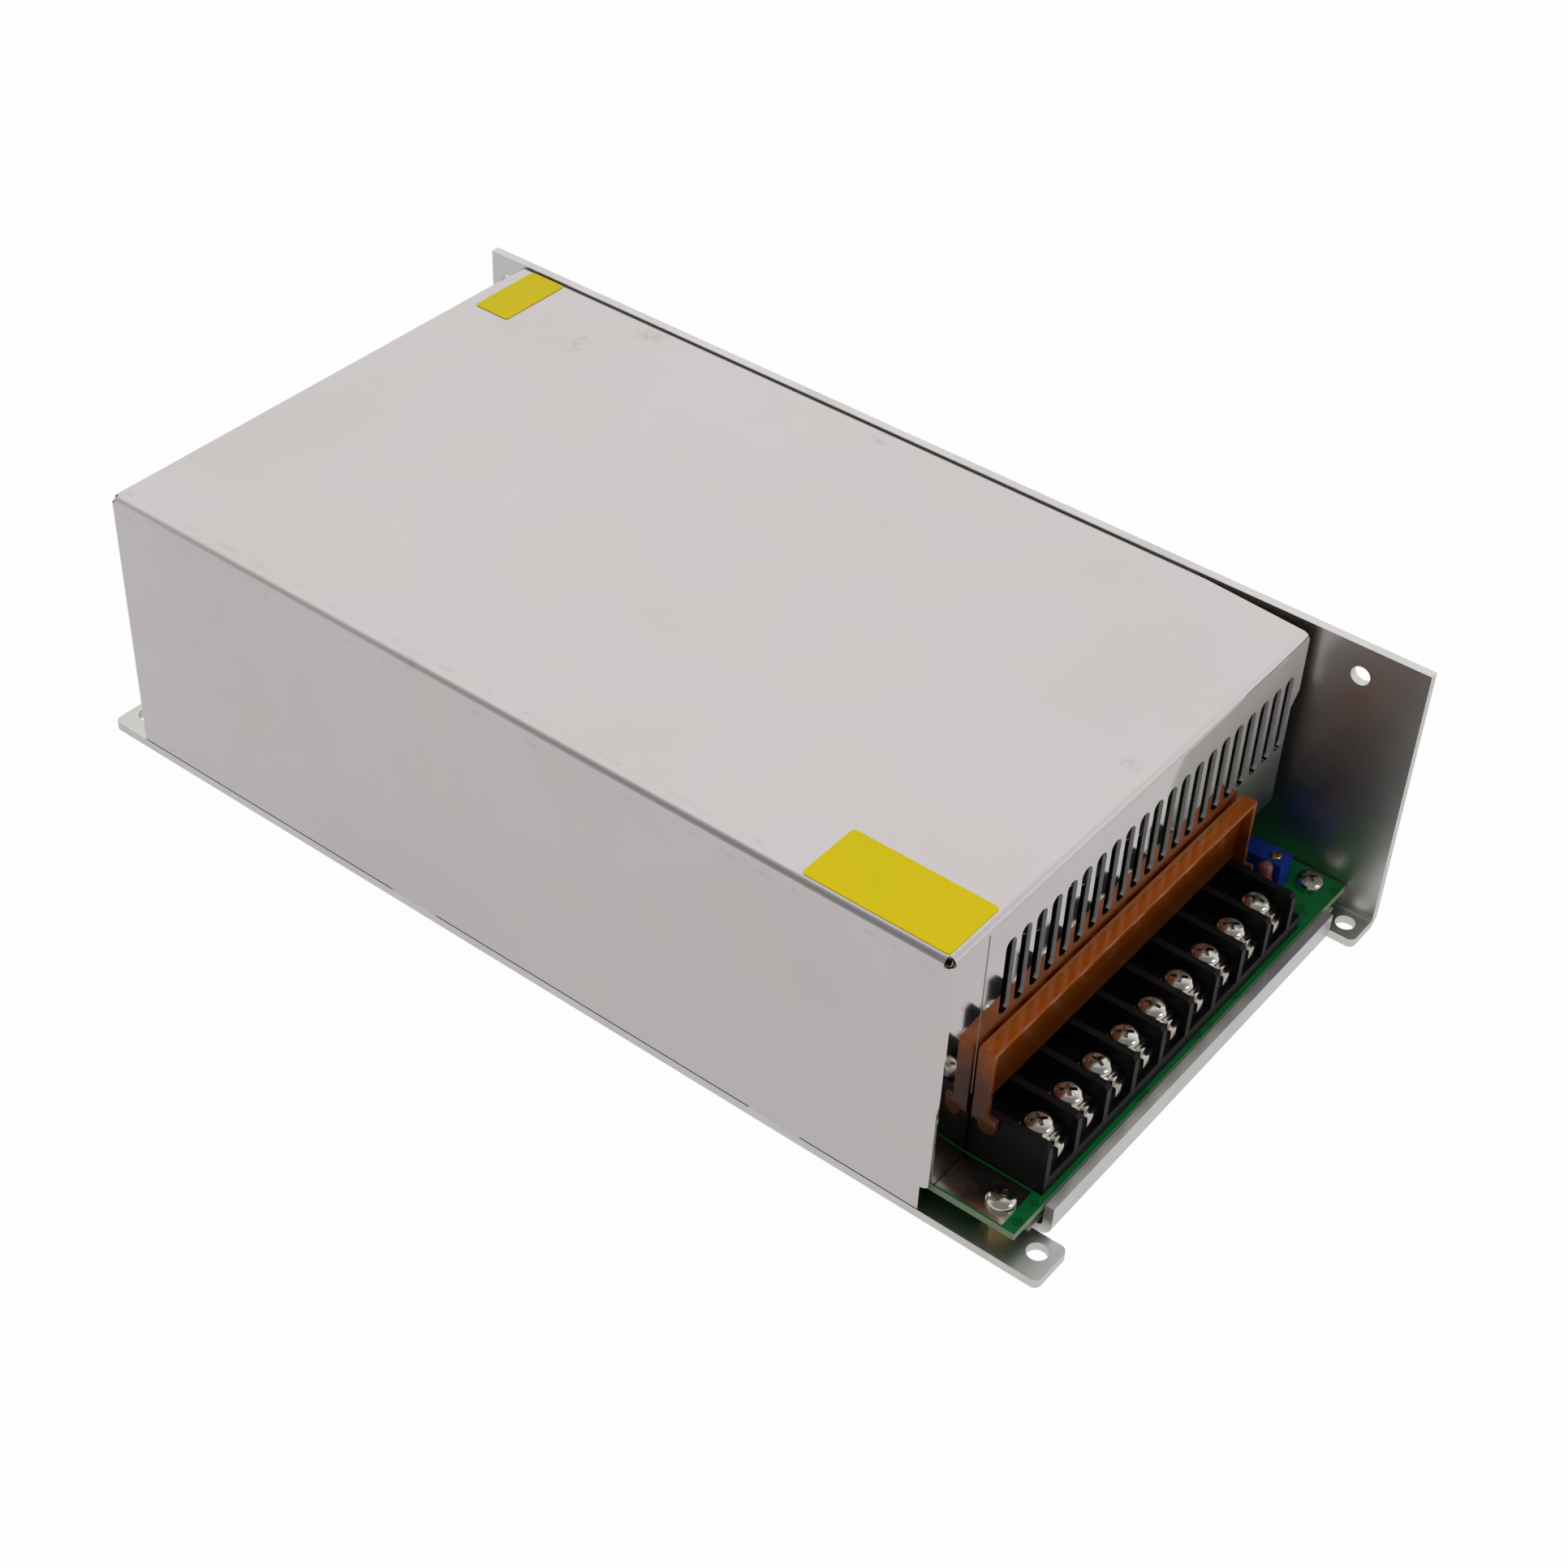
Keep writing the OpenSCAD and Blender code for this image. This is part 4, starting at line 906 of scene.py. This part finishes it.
terminal_screw = pan_screw("terminal_screw", head=6.2, height=TERMINAL_HEAD, radius=1.75, pitch=0.7,
                           length=8.2)
board_screw = pan_screw("board_screw", head=5.8, height=BOARD_HEAD, radius=1.5, pitch=0.5, length=5.0)
print("terminal screw:", len(terminal_screw.polygons), "faces, board screw:", len(board_screw.polygons))

# %% [markdown]
# No two screws stop at the same angle. A Geometry Nodes tree therefore sets a part on points
# and gives each copy its own turn from a fixed seed, so the same screws come out on every run.
# Placing them by hand would do for nine, but the tree serves every set of parts below.

# %% Parts set on points
UPRIGHT = (0.0, 0.0, 0.0)


def new_tree(name, **inputs):
    """An empty Geometry Nodes tree with those named inputs, and their sockets inside it."""
    tree = bpy.data.node_groups.new(name, "GeometryNodeTree")
    for label, kind in inputs.items():
        tree.interface.new_socket(label, in_out="INPUT", socket_type="NodeSocket" + kind)
    tree.interface.new_socket("Set", in_out="OUTPUT", socket_type="NodeSocketGeometry")
    return tree, put(tree, "NodeGroupInput").outputs


def end_tree(tree, given, points, way):
    """Sets the part on points, makes the copies real and gives them their finish."""
    part = put(tree, "GeometryNodeObjectInfo", {"Object": given["Part"]}).outputs["Geometry"]
    sockets = {"Points": points, "Instance": part, "Rotation": way}
    copies = put(tree, "GeometryNodeInstanceOnPoints", sockets).outputs[0]
    real = put(tree, "GeometryNodeRealizeInstances", {"Geometry": copies}).outputs[0]
    dressed = put(tree, "GeometryNodeSetMaterial", {"Geometry": real, "Material": given["Finish"]}).outputs[0]
    put(tree, "NodeGroupOutput", {"Set": dressed})
    return tree


def about_z(tree, angle):
    return put(tree, "FunctionNodeAxisAngleToRotation", {"Axis": (0, 0, 1), "Angle": angle}).outputs[0]


def point_tree():
    """A tree that sets a part on points, laid over by an angle and turned by chance about its own axis."""
    tree, given = new_tree("parts_on_points", Points="Geometry", Part="Object", Finish="Material",
                           Lie="Vector", Turn="Float", Seed="Int")
    limits = {3: given["Turn"], "Seed": given["Seed"]}
    chance = put(tree, "FunctionNodeRandomValue", limits, data_type="FLOAT").outputs[1]
    lie = put(tree, "FunctionNodeEulerToRotation", {"Euler": given["Lie"]}).outputs[0]
    turns = {"Rotation": lie, "Rotate By": about_z(tree, chance)}
    way = put(tree, "FunctionNodeRotateRotation", turns, rotation_space="LOCAL").outputs[0]
    return end_tree(tree, given, given["Points"], way)


POINT_TREE = point_tree()


def grown(name, mesh, tree, part, **values):
    """The plain mesh that a tree makes of a mesh and a part."""
    holder = lone(name + "_points", mesh)
    pattern = lone(name + "_part", part)
    sockets = {item.name: item.identifier for item in tree.interface.items_tree if item.in_out == "INPUT"}
    step = holder.modifiers.new(tree.name, "NODES")
    step.node_group = tree
    step[sockets["Part"]] = pattern
    for label, value in values.items():
        step[sockets[label]] = value
    made = settled(holder)
    bpy.data.objects.remove(pattern)
    return made


def set_parts(name, part, places, body, slot, *stands_for, lie=UPRIGHT, turn=0.0, seed=1):
    """Copies of a part at places in metres, as one piece on a body."""
    points = bpy.data.meshes.new(name)
    points.from_pydata(places, [], [])
    mesh = grown(name, points, POINT_TREE, part, Finish=finishes[slot], Lie=lie, Turn=turn, Seed=seed)
    return place_piece(name, mesh, body, slot, *stands_for)


print("point tree:", len(POINT_TREE.nodes), "nodes")

# %% [markdown]
# A node of the frame may hold several solids, such as all the board screws. To find where each one stands,
# its mesh is walked from corner to corner until no corner is left, and each solid gives its own box.
# The places could be typed in, but then they would not follow the frame.

# %% Places of separate solids
def islands(node):
    """The box of each separate solid in a node, as (lowest, highest) corners."""
    work = merged(nodes[node].data)
    left = set(work.verts)
    found = []
    while left:
        edge = [left.pop()]
        whole = []
        while edge:
            vertex = edge.pop()
            whole.append(vertex.co.copy())
            near = {e.other_vert(vertex) for e in vertex.link_edges} & left
            left -= near
            edge.extend(near)
        found.append((Vector([min(c[k] for c in whole) for k in range(3)]),
                      Vector([max(c[k] for c in whole) for k in range(3)])))
    work.free()
    return sorted(found, key=lambda box: tuple(round(v, 4) for v in box[0]))


def middle(box):
    return (box[0] + box[1]) / 2


def seat(box, height):
    """The point at a height over the middle of a box."""
    low, high = box
    return ((low.x + high.x) / 2, (low.y + high.y) / 2, height)


board_boxes = islands("board_screws")
print("board screws found:", len(board_boxes))

# %% [markdown]
# Each terminal screw backs out on its own, so each is a piece on its own body.
# The board screws never move, so one set holds them all.
# Half a turn is enough for the chance in their angle, because a cross looks the same after a quarter turn.

# %% Terminal and board screws
WAYS = range(1, 10)
for way in WAYS:
    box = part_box(f"terminal_screw_{way}")
    place = seat(box, box[1].z - TERMINAL_HEAD * MM)
    set_parts(f"clamp_screw_{way}", terminal_screw, [place], f"screw_{way}", "steel",
              f"terminal_screw_{way}", turn=math.pi, seed=way)
seats = [seat(box, box[1].z - BOARD_HEAD * MM) for box in board_boxes]
set_parts("board_fixings", board_screw, seats, "case", "steel", "board_screws", turn=math.pi, seed=5)
print("terminal screws set:", len(WAYS), "board screws set:", len(seats))

# %% [markdown]
# Each screw presses a square clamping plate on a wire. The plate is stamped, and a short tongue runs out of
# its front edge to guide the wire. The contact below has a tongue too, which turns down before the block.
# Both are made once from boxes with rounded edges, then set on the nine ways. One bent sheet would be
# truer to the press, but at this size it looks the same.

# %% Clamping plates and contacts
THICK = 1.0
BORE = 1.95
ROOT = 0.3
LEVEL = 0.02
PLATE_EDGE = 0.12
CONTACT_BACK = 0.4


def bored(plate, low, high):
    """A plate with rounded edges and a round hole for its screw."""
    hole = turned([(0, low), (BORE, low), (BORE, high), (0, high)], 32)
    return rounded(cut(plate, hole), PLATE_EDGE)


def clamp_plate(side):
    """A square plate about its screw with a tongue in front, its foot on z = 0."""
    half, reach, bend = 0.85, 0.95, 0.15
    front = -side / 2
    plate = slab((front, front, 0), (side / 2, side / 2, THICK))
    tongue = slab((-half, front - reach, LEVEL), (half, front + ROOT, THICK - LEVEL))
    tooth = slab((-half, front - reach, THICK * 0.5), (half, front - 0.45, THICK + 0.30))
    return joined("clamp_plate", bored(plate, -1, THICK + 1), rounded(tongue, bend), rounded(tooth, bend))


def contact_strip(side):
    """A contact whose tongue turns down in front of the block, its top at z = 0."""
    half, reach, bend = 0.95, 1.9, 0.2
    front = -side / 2
    flat = slab((front, front, -THICK), (side / 2, side / 2 + CONTACT_BACK, 0))
    tongue = slab((-half, front - reach, -THICK), (half, front + ROOT, -LEVEL))
    leg = slab((-half, front - 2.0, -2.4), (half, front - 1.15, -0.2))
    return joined("contact_strip", bored(flat, -2, 1), rounded(tongue, bend), rounded(leg, bend))


plate_side = (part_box("terminal_washer_1")[1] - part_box("terminal_washer_1")[0]).x / MM
plate_part = clamp_plate(plate_side)
contact_part = contact_strip(plate_side)
seats = []
for way in WAYS:
    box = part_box(f"terminal_washer_{way}")
    seats.append(seat(box, box[0].z))
    set_parts(f"clamp_plate_{way}", plate_part, seats[-1:], f"washer_{way}", "steel",
              f"terminal_washer_{way}")
set_parts("contact_strips", contact_part, seats, "case", "plated_brass", "terminal_contacts")
print("clamping plates and contacts set:", len(seats))

# %% [markdown]
# The cover is held by countersunk screws, and the fan by four pan screws through the rear flap.
# The same turning and cutting serves them. A set lies along its own axis, so the tree's Lie input turns it:
# a quarter turn about X points a screw to the rear, one about Y to the far side, half a turn points it down.

# %% Cover and fan screws
TO_REAR = (-math.pi / 2, 0.0, 0.0)
TO_FAR = (0.0, math.pi / 2, 0.0)
TO_FLOOR = (math.pi, 0.0, 0.0)
WALL_FROM = 20 * MM
FAN_HEAD = 2.2
SUNK_LIP = 0.12


def sunk_screw(name, head, depth, radius, pitch, length):
    """A countersunk screw whose head is level with z = 0, its cross cut in and its thread below."""
    cone = [(0, -depth), (radius, -depth), (head / 2, -SUNK_LIP), (head / 2, 0), (0, 0)]
    top = turned(cone, 40)
    top = crossed(top, wide=head * 0.30, thin=head * 0.07, low=-depth * 0.7, high=depth, narrow=0.7)
    shank = threaded(radius, core=radius * 0.82, pitch=pitch, length=length)
    shank.transform(mathutils.Matrix.Translation((0, 0, -depth * MM)))
    return joined(name, top, shank)


cover_screw = sunk_screw("cover_screw", head=5.6, depth=1.3, radius=1.5, pitch=0.5, length=3.2)
boxes = islands("cover_screws")
wall_seats = [(box[1].x, middle(box).y, middle(box).z) for box in boxes if box[1].z > WALL_FROM]
foot_seats = [seat(box, box[0].z) for box in boxes if box[1].z < WALL_FROM]
set_parts("wall_fixings", cover_screw, wall_seats, "case", "steel", "cover_screws", lie=TO_FAR, turn=math.pi,
          seed=3)
set_parts("foot_fixings", cover_screw, foot_seats, "case", "steel", lie=TO_FLOOR, turn=math.pi, seed=4)

boxes = islands("fan_screws")
fan_wide = (boxes[0][1] - boxes[0][0]).x / MM
fan_screw = pan_screw("fan_screw", fan_wide, FAN_HEAD, radius=2.0, pitch=1.2, length=5.8)
fan_seats = [(middle(box).x, box[1].y - FAN_HEAD * MM, middle(box).z) for box in boxes]
set_parts("fan_fixings", fan_screw, fan_seats, "case", "steel", "fan_screws", lie=TO_REAR, turn=math.pi,
          seed=8)
print("cover screws:", len(wall_seats) + len(foot_seats), "fan screws:", len(fan_seats))

# %% [markdown]
# Beside the terminals stand a small signal lamp on two legs and a trimmer with a slotted brass screw.
# The lamp is a moulded lens: a rim, a short barrel and a dome, spun from one outline like the screws.
# A ball on a tube would be quicker, but the rim is what tells a lamp from a bead.

# %% Lamp and trimmer screw
LENS_MM = 5.6
BARREL_MM = 4.1
DOME_MM = 1.5
DOME_STEPS = 8
LENS_RIM = [(0, 0), (1.75, 0), (1.9, 0.15), (1.9, 0.85), (1.78, 1.0), (1.55, 1.05)]
LEG_HALF = 0.25
LEG_SIDE = 1.27
LEG_INSIDE = 0.3
TRIM_RIM = 0.2
SLOT_HALF = 0.28
SLOT_DEEP = 0.7

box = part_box("indicator_lamp")
lamp_seat = seat(box, box[1].z - LENS_MM * MM)
stand = (lamp_seat[2] - box[0].z) / MM
quarter = [k * math.pi / 2 / DOME_STEPS for k in range(DOME_STEPS)]
dome = [(DOME_MM * math.cos(t), BARREL_MM + DOME_MM * math.sin(t)) for t in quarter]
lens = joined("lens", turned(LENS_RIM + dome + [(0, LENS_MM)], 36))
set_parts("signal_lamp", lens, [lamp_seat], "case", "lamp_lens", "indicator_lamp")
legs = []
for y in (-LEG_SIDE, LEG_SIDE):
    legs.append(slab((-LEG_HALF, y - LEG_HALF, -stand), (LEG_HALF, y + LEG_HALF, LEG_INSIDE)))
set_parts("lamp_legs", joined("legs", *legs), [lamp_seat], "case", "steel")

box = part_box("trimmer_screw")
trim_d = (box[1] - box[0]).x / MM
trim_h = (box[1] - box[0]).z / MM
trim_r = trim_d / 2
trim_rim = [(0, 0), (trim_r, 0), (trim_r, trim_h - TRIM_RIM), (trim_r - TRIM_RIM, trim_h), (0, trim_h)]
trim_slot = slab((-trim_d, -SLOT_HALF, trim_h - SLOT_DEEP), (trim_d, SLOT_HALF, trim_h + 1))
trim_part = joined("trim_disc", cut(turned(trim_rim, 36), trim_slot))
set_parts("trimmer_slot", trim_part, [seat(box, box[0].z)], "trimmer", "brass", "trimmer_screw")
print("lamp on", round(stand, 1), "mm legs, trimmer screw", round(trim_d, 1), "mm")

# %% [markdown]
# The two chokes inside are rings of ferrite wound with thick enamelled wire.
# A winding follows a rule: the same loop again and again round the ring. So a second tree makes the points
# itself, counts the turns and gives each its own angle.
# Bending one long wire would look the same but be harder to fit.

# %% Choke windings
OPEN_TURN = math.radians(64.0)
WIRE_GAP = 1.04
WIRE_BEND = 1.5


def ring_tree():
    """A tree that sets a number of loops round a ring, from one angle on."""
    tree, given = new_tree("turns_on_ring", Geometry="Geometry", Part="Object", Finish="Material",
                           Turns="Int", Start="Float", Step="Float", Centre="Vector")
    places = {"Count": given["Turns"], "Position": given["Centre"]}
    points = put(tree, "GeometryNodePoints", places).outputs[0]
    count = put(tree, "GeometryNodeInputIndex").outputs[0]
    angle = plus(tree, given["Start"], times(tree, count, given["Step"]))
    return end_tree(tree, given, points, about_z(tree, angle))


RING_TREE = ring_tree()


def round_corners(low_x, low_y, high_x, high_y, radius, steps):
    """The rim of a rectangle with round corners, as (x, y, angle)."""
    corners = ((high_x, high_y, 0), (low_x, high_y, 1), (low_x, low_y, 2), (high_x, low_y, 3))
    rim = []
    for x, y, turn in corners:
        about_x = x - radius if x == high_x else x + radius
        about_y = y - radius if y == high_y else y + radius
        for k in range(steps + 1):
            angle = (turn + k / steps) * math.pi / 2
            rim.append((about_x + radius * math.cos(angle), about_y + radius * math.sin(angle), angle))
    return rim


def wire_loop(inner, outer, low, high, wire, sides=8, bend=4):
    """A closed loop of round wire about a ring's section, in the XZ plane, in metres."""
    radius = wire / 2
    work = bmesh.new()
    rings = []
    for x, z, t in round_corners(inner, low, outer, high, WIRE_BEND * wire, bend):
        ring = []
        for k in range(sides):
            s = 2 * math.pi * k / sides
            out = radius * math.cos(s)
            ring.append(work.verts.new((x + out * math.cos(t), radius * math.sin(s), z + out * math.sin(t))))
        rings.append(ring)
    for here, there in zip(rings, rings[1:] + rings[:1]):
        for k in range(sides):
            after = (k + 1) % sides
            work.faces.new((here[k], here[after], there[after], there[k]))
    bmesh.ops.recalc_face_normals(work, faces=work.faces)
    mesh = closed(work, "wire_loop")
    mesh.shade_smooth()
    return mesh


def wound_ring(name, node, core):
    """Turns of wire side by side round a ring core, in place of a node."""
    low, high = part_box(node)
    core_low, core_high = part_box(core)
    wire = core_low.z - low.z
    centre = middle((core_low, core_high))
    hole = min((vertex.co.xy - centre.xy).length for vertex in nodes[core].data.vertices)
    inner = hole - wire / 2
    outer = (core_high - core_low).x / 2 + wire / 2
    foot = low.z + wire / 2 - centre.z
    head = high.z - wire / 2 - centre.z
    loop = wire_loop(inner, outer, foot, head, wire)
    step = WIRE_GAP * wire / (inner - wire / 2)
    turns = int((2 * math.pi - OPEN_TURN) / step)
    mesh = grown(name, bpy.data.meshes.new(name), RING_TREE, loop, Finish=finishes["copper"], Turns=turns,
                 Start=OPEN_TURN / 2, Step=step, Centre=centre)
    place_piece(name, mesh, "case", "copper", node)
    print(name, "has", turns, "turns of", round(wire / MM, 2), "mm wire")


wound_ring("output_choke_turns", "output_choke_winding", "output_choke_core")
wound_ring("line_choke_turns", "line_choke_winding", "line_choke_core")

# %% [markdown]
# Inside the case, the power devices stand on flat legs that are soldered to the board, and the control chip
# has two rows of bent pins. They show only with the cover off, so each leg and pin is a few boxes, made once
# and set on points below its device. Modelling them one by one would give the same look for more work.

# %% Legs and pins
LEG_GAP = 2.54 * MM
SHOULDER = 2.0
SHEET_HALF = 0.25
SHOULDER_HALF = 0.65
FOOT_HALF = 0.40
LEG_EDGE = 0.1
PIN_EDGE = 0.05
PIN_HALF = 0.2
CHIP_PINS = 7


def device_leg(drop):
    """A flat leg with a wide shoulder and a cone of solder, its top at z = 0 and its foot a drop below."""
    shoulder = slab((-SHEET_HALF, -SHOULDER_HALF, -SHOULDER), (SHEET_HALF, SHOULDER_HALF, 0.3))
    pin = slab((-SHEET_HALF, -FOOT_HALF, -drop), (SHEET_HALF, FOOT_HALF, -SHOULDER + 0.1))
    cone = [(0, -drop), (1.0, -drop), (0.7, 0.25 - drop), (0.5, 0.8 - drop), (0, 0.8 - drop)]
    solder = turned(cone, 20)
    return joined("device_leg", rounded(shoulder, LEG_EDGE), rounded(pin, LEG_EDGE), solder)


def chip_pin(side, stand):
    """A pin bent down to its card, which faces +x. Side is the sign of y that it points to."""
    strips = (((-0.1, -0.1), (0.1, 0.75)), ((-stand, 0.55), (0.1, 0.75)),
              ((-stand, 0.55), (0.2 - stand, 1.4)))
    bars = []
    for (low_x, low_y), (high_x, high_y) in strips:
        near, far = sorted((side * low_y, side * high_y))
        bars.append(rounded(slab((low_x, near, -PIN_HALF), (high_x, far, PIN_HALF)), PIN_EDGE))
    return joined("chip_pin", *bars)


board_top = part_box("circuit_board")[1].z
feet = []
for node in ("bridge_rectifier", "switching_transistors", "output_rectifiers"):
    for box in islands(node):
        x, y, z = seat(box, box[0].z)
        feet.extend((x, y + step * LEG_GAP, z) for step in (-1, 0, 1))
set_parts("device_legs", device_leg((feet[0][2] - board_top) / MM), feet, "case", "plated_brass")
low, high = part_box("control_chip")
chip_x = (low.x + high.x) / 2
stand = (chip_x - low.x) / MM
rows = [low.z + (high.z - low.z) * (pin + 0.5) / CHIP_PINS for pin in range(CHIP_PINS)]
for side, edge, row in ((-1, low.y, "front"), (1, high.y, "rear")):
    pins = [(chip_x, edge, z) for z in rows]
    set_parts(f"chip_pins_{row}", chip_pin(side, stand), pins, "case", "plated_brass")
print("device legs:", len(feet), "chip pins:", 2 * CHIP_PINS)

# %% [markdown]
# A capacitor's sleeve is shrunk over the rim of its can, and the bare top inside that rim is scored with
# a cross, where the can may open if the pressure inside it rises. The top is a thin disc with the cross cut
# into it, because grooves in the metal catch the light in a way that a painted cross does not.

# %% Capacitor tops
TOP_MM = 0.25
TOP_SHARE = 0.78
TOP_RIM = 0.12
TOP_SUNK = 0.2
SCORE_HALF = 0.16
CAN_HEIGHT = 10 * MM


def scored_top(radius):
    """A thin disc with a rounded rim and a cross cut into it, its foot on z = 0."""
    rim = [(0, -TOP_SUNK), (radius, -TOP_SUNK), (radius, TOP_MM * 0.5), (radius - TOP_RIM, TOP_MM),
           (0, TOP_MM)]
    disc = turned(rim, 48)
    disc = crossed(disc, wide=radius * 0.8, thin=SCORE_HALF, low=TOP_MM * 0.4, high=TOP_MM * 2, narrow=0.4)
    return joined("scored_top", disc)


for node, name in (("bulk_capacitors", "bulk_tops"), ("output_capacitors", "output_tops")):
    cans = [box for box in islands(node) if box[1].z - box[0].z > CAN_HEIGHT]
    radius = (cans[0][1].x - cans[0][0].x) / 2 / MM
    crowns = [seat(box, box[1].z) for box in cans]
    set_parts(name, scored_top(radius * TOP_SHARE), crowns, "case", "chassis_sheet", turn=math.pi, seed=7)
    print(name, "on", len(cans), "cans of", round(2 * radius, 1), "mm")

# %% [markdown]
# The two stickers lie flat on the cover and stay bare.
# A box would do for their size, but a die-cut sheet has round corners.

# %% Stickers
STICKER_CORNER = 0.8 * MM
CORNER_STEPS = 6


def rounded_sheet(name, low, high):
    """A thin sheet with round corners between two corners of a box."""
    rim = round_corners(low.x, low.y, high.x, high.y, STICKER_CORNER, CORNER_STEPS)
    work = bmesh.new()
    foot = [work.verts.new((x, y, low.z)) for x, y, turn in rim]
    head = [work.verts.new((x, y, high.z)) for x, y, turn in rim]
    work.faces.new(head)
    work.faces.new(foot[::-1])
    for k in range(len(rim)):
        after = (k + 1) % len(rim)
        work.faces.new((foot[k], foot[after], head[after], head[k]))
    return closed(work, name)


for node, name in (("front_label", "front_sticker"), ("rear_label", "rear_sticker")):
    place_piece(name, rounded_sheet(name, *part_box(node)), "case", "label", node)
print("stickers laid")

# %% [markdown]
# The near front corner of the board is bare copper under tin, which grounds the case through its screw.
# Solder freezes with a soft, uneven skin. A flat patch would read as foil, so the pad is a fine grid
# whose height follows a smooth noise and falls to nothing at its rim.

# %% Tinned corner
PAD_CELLS = 28
PAD_CROWN = 0.16
PAD_INSET = 0.3 * MM
PAD_FRONT = 2.8 * MM
PAD_REAR = 19.0 * MM
PAD_SUNK = 0.01 * MM
PAD_LUMPS = 190.0
PAD_FALL = 9.0


def solder_pad(name, low, high):
    """An uneven patch of solder over a rectangle of the board."""
    work = bmesh.new()
    rows = []
    for j in range(PAD_CELLS + 1):
        row = []
        for i in range(PAD_CELLS + 1):
            u, v = i / PAD_CELLS, j / PAD_CELLS
            place = Vector((low.x + (high.x - low.x) * u, low.y + (high.y - low.y) * v, low.z))
            rim = min(1.0, PAD_FALL * min(u, 1 - u, v, 1 - v))
            swell = 0.55 + 0.45 * mathutils.noise.noise(place * PAD_LUMPS)
            row.append(work.verts.new(place + Vector((0, 0, PAD_CROWN * MM * rim * swell))))
        rows.append(row)
    for here, there in zip(rows, rows[1:]):
        for i in range(PAD_CELLS):
            work.faces.new((here[i], here[i + 1], there[i + 1], there[i]))
    mesh = closed(work, name)
    mesh.shade_smooth()
    return mesh


low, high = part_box("circuit_board")
pad_low = Vector((low.x + PAD_INSET, low.y + PAD_FRONT, high.z - PAD_SUNK))
pad_high = Vector((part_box("terminal_block")[0].x - PAD_INSET, low.y + PAD_REAR, high.z))
place_piece("tinned_corner", solder_pad("tinned_corner", pad_low, pad_high), "case", "plated_brass")
print("tinned corner laid")
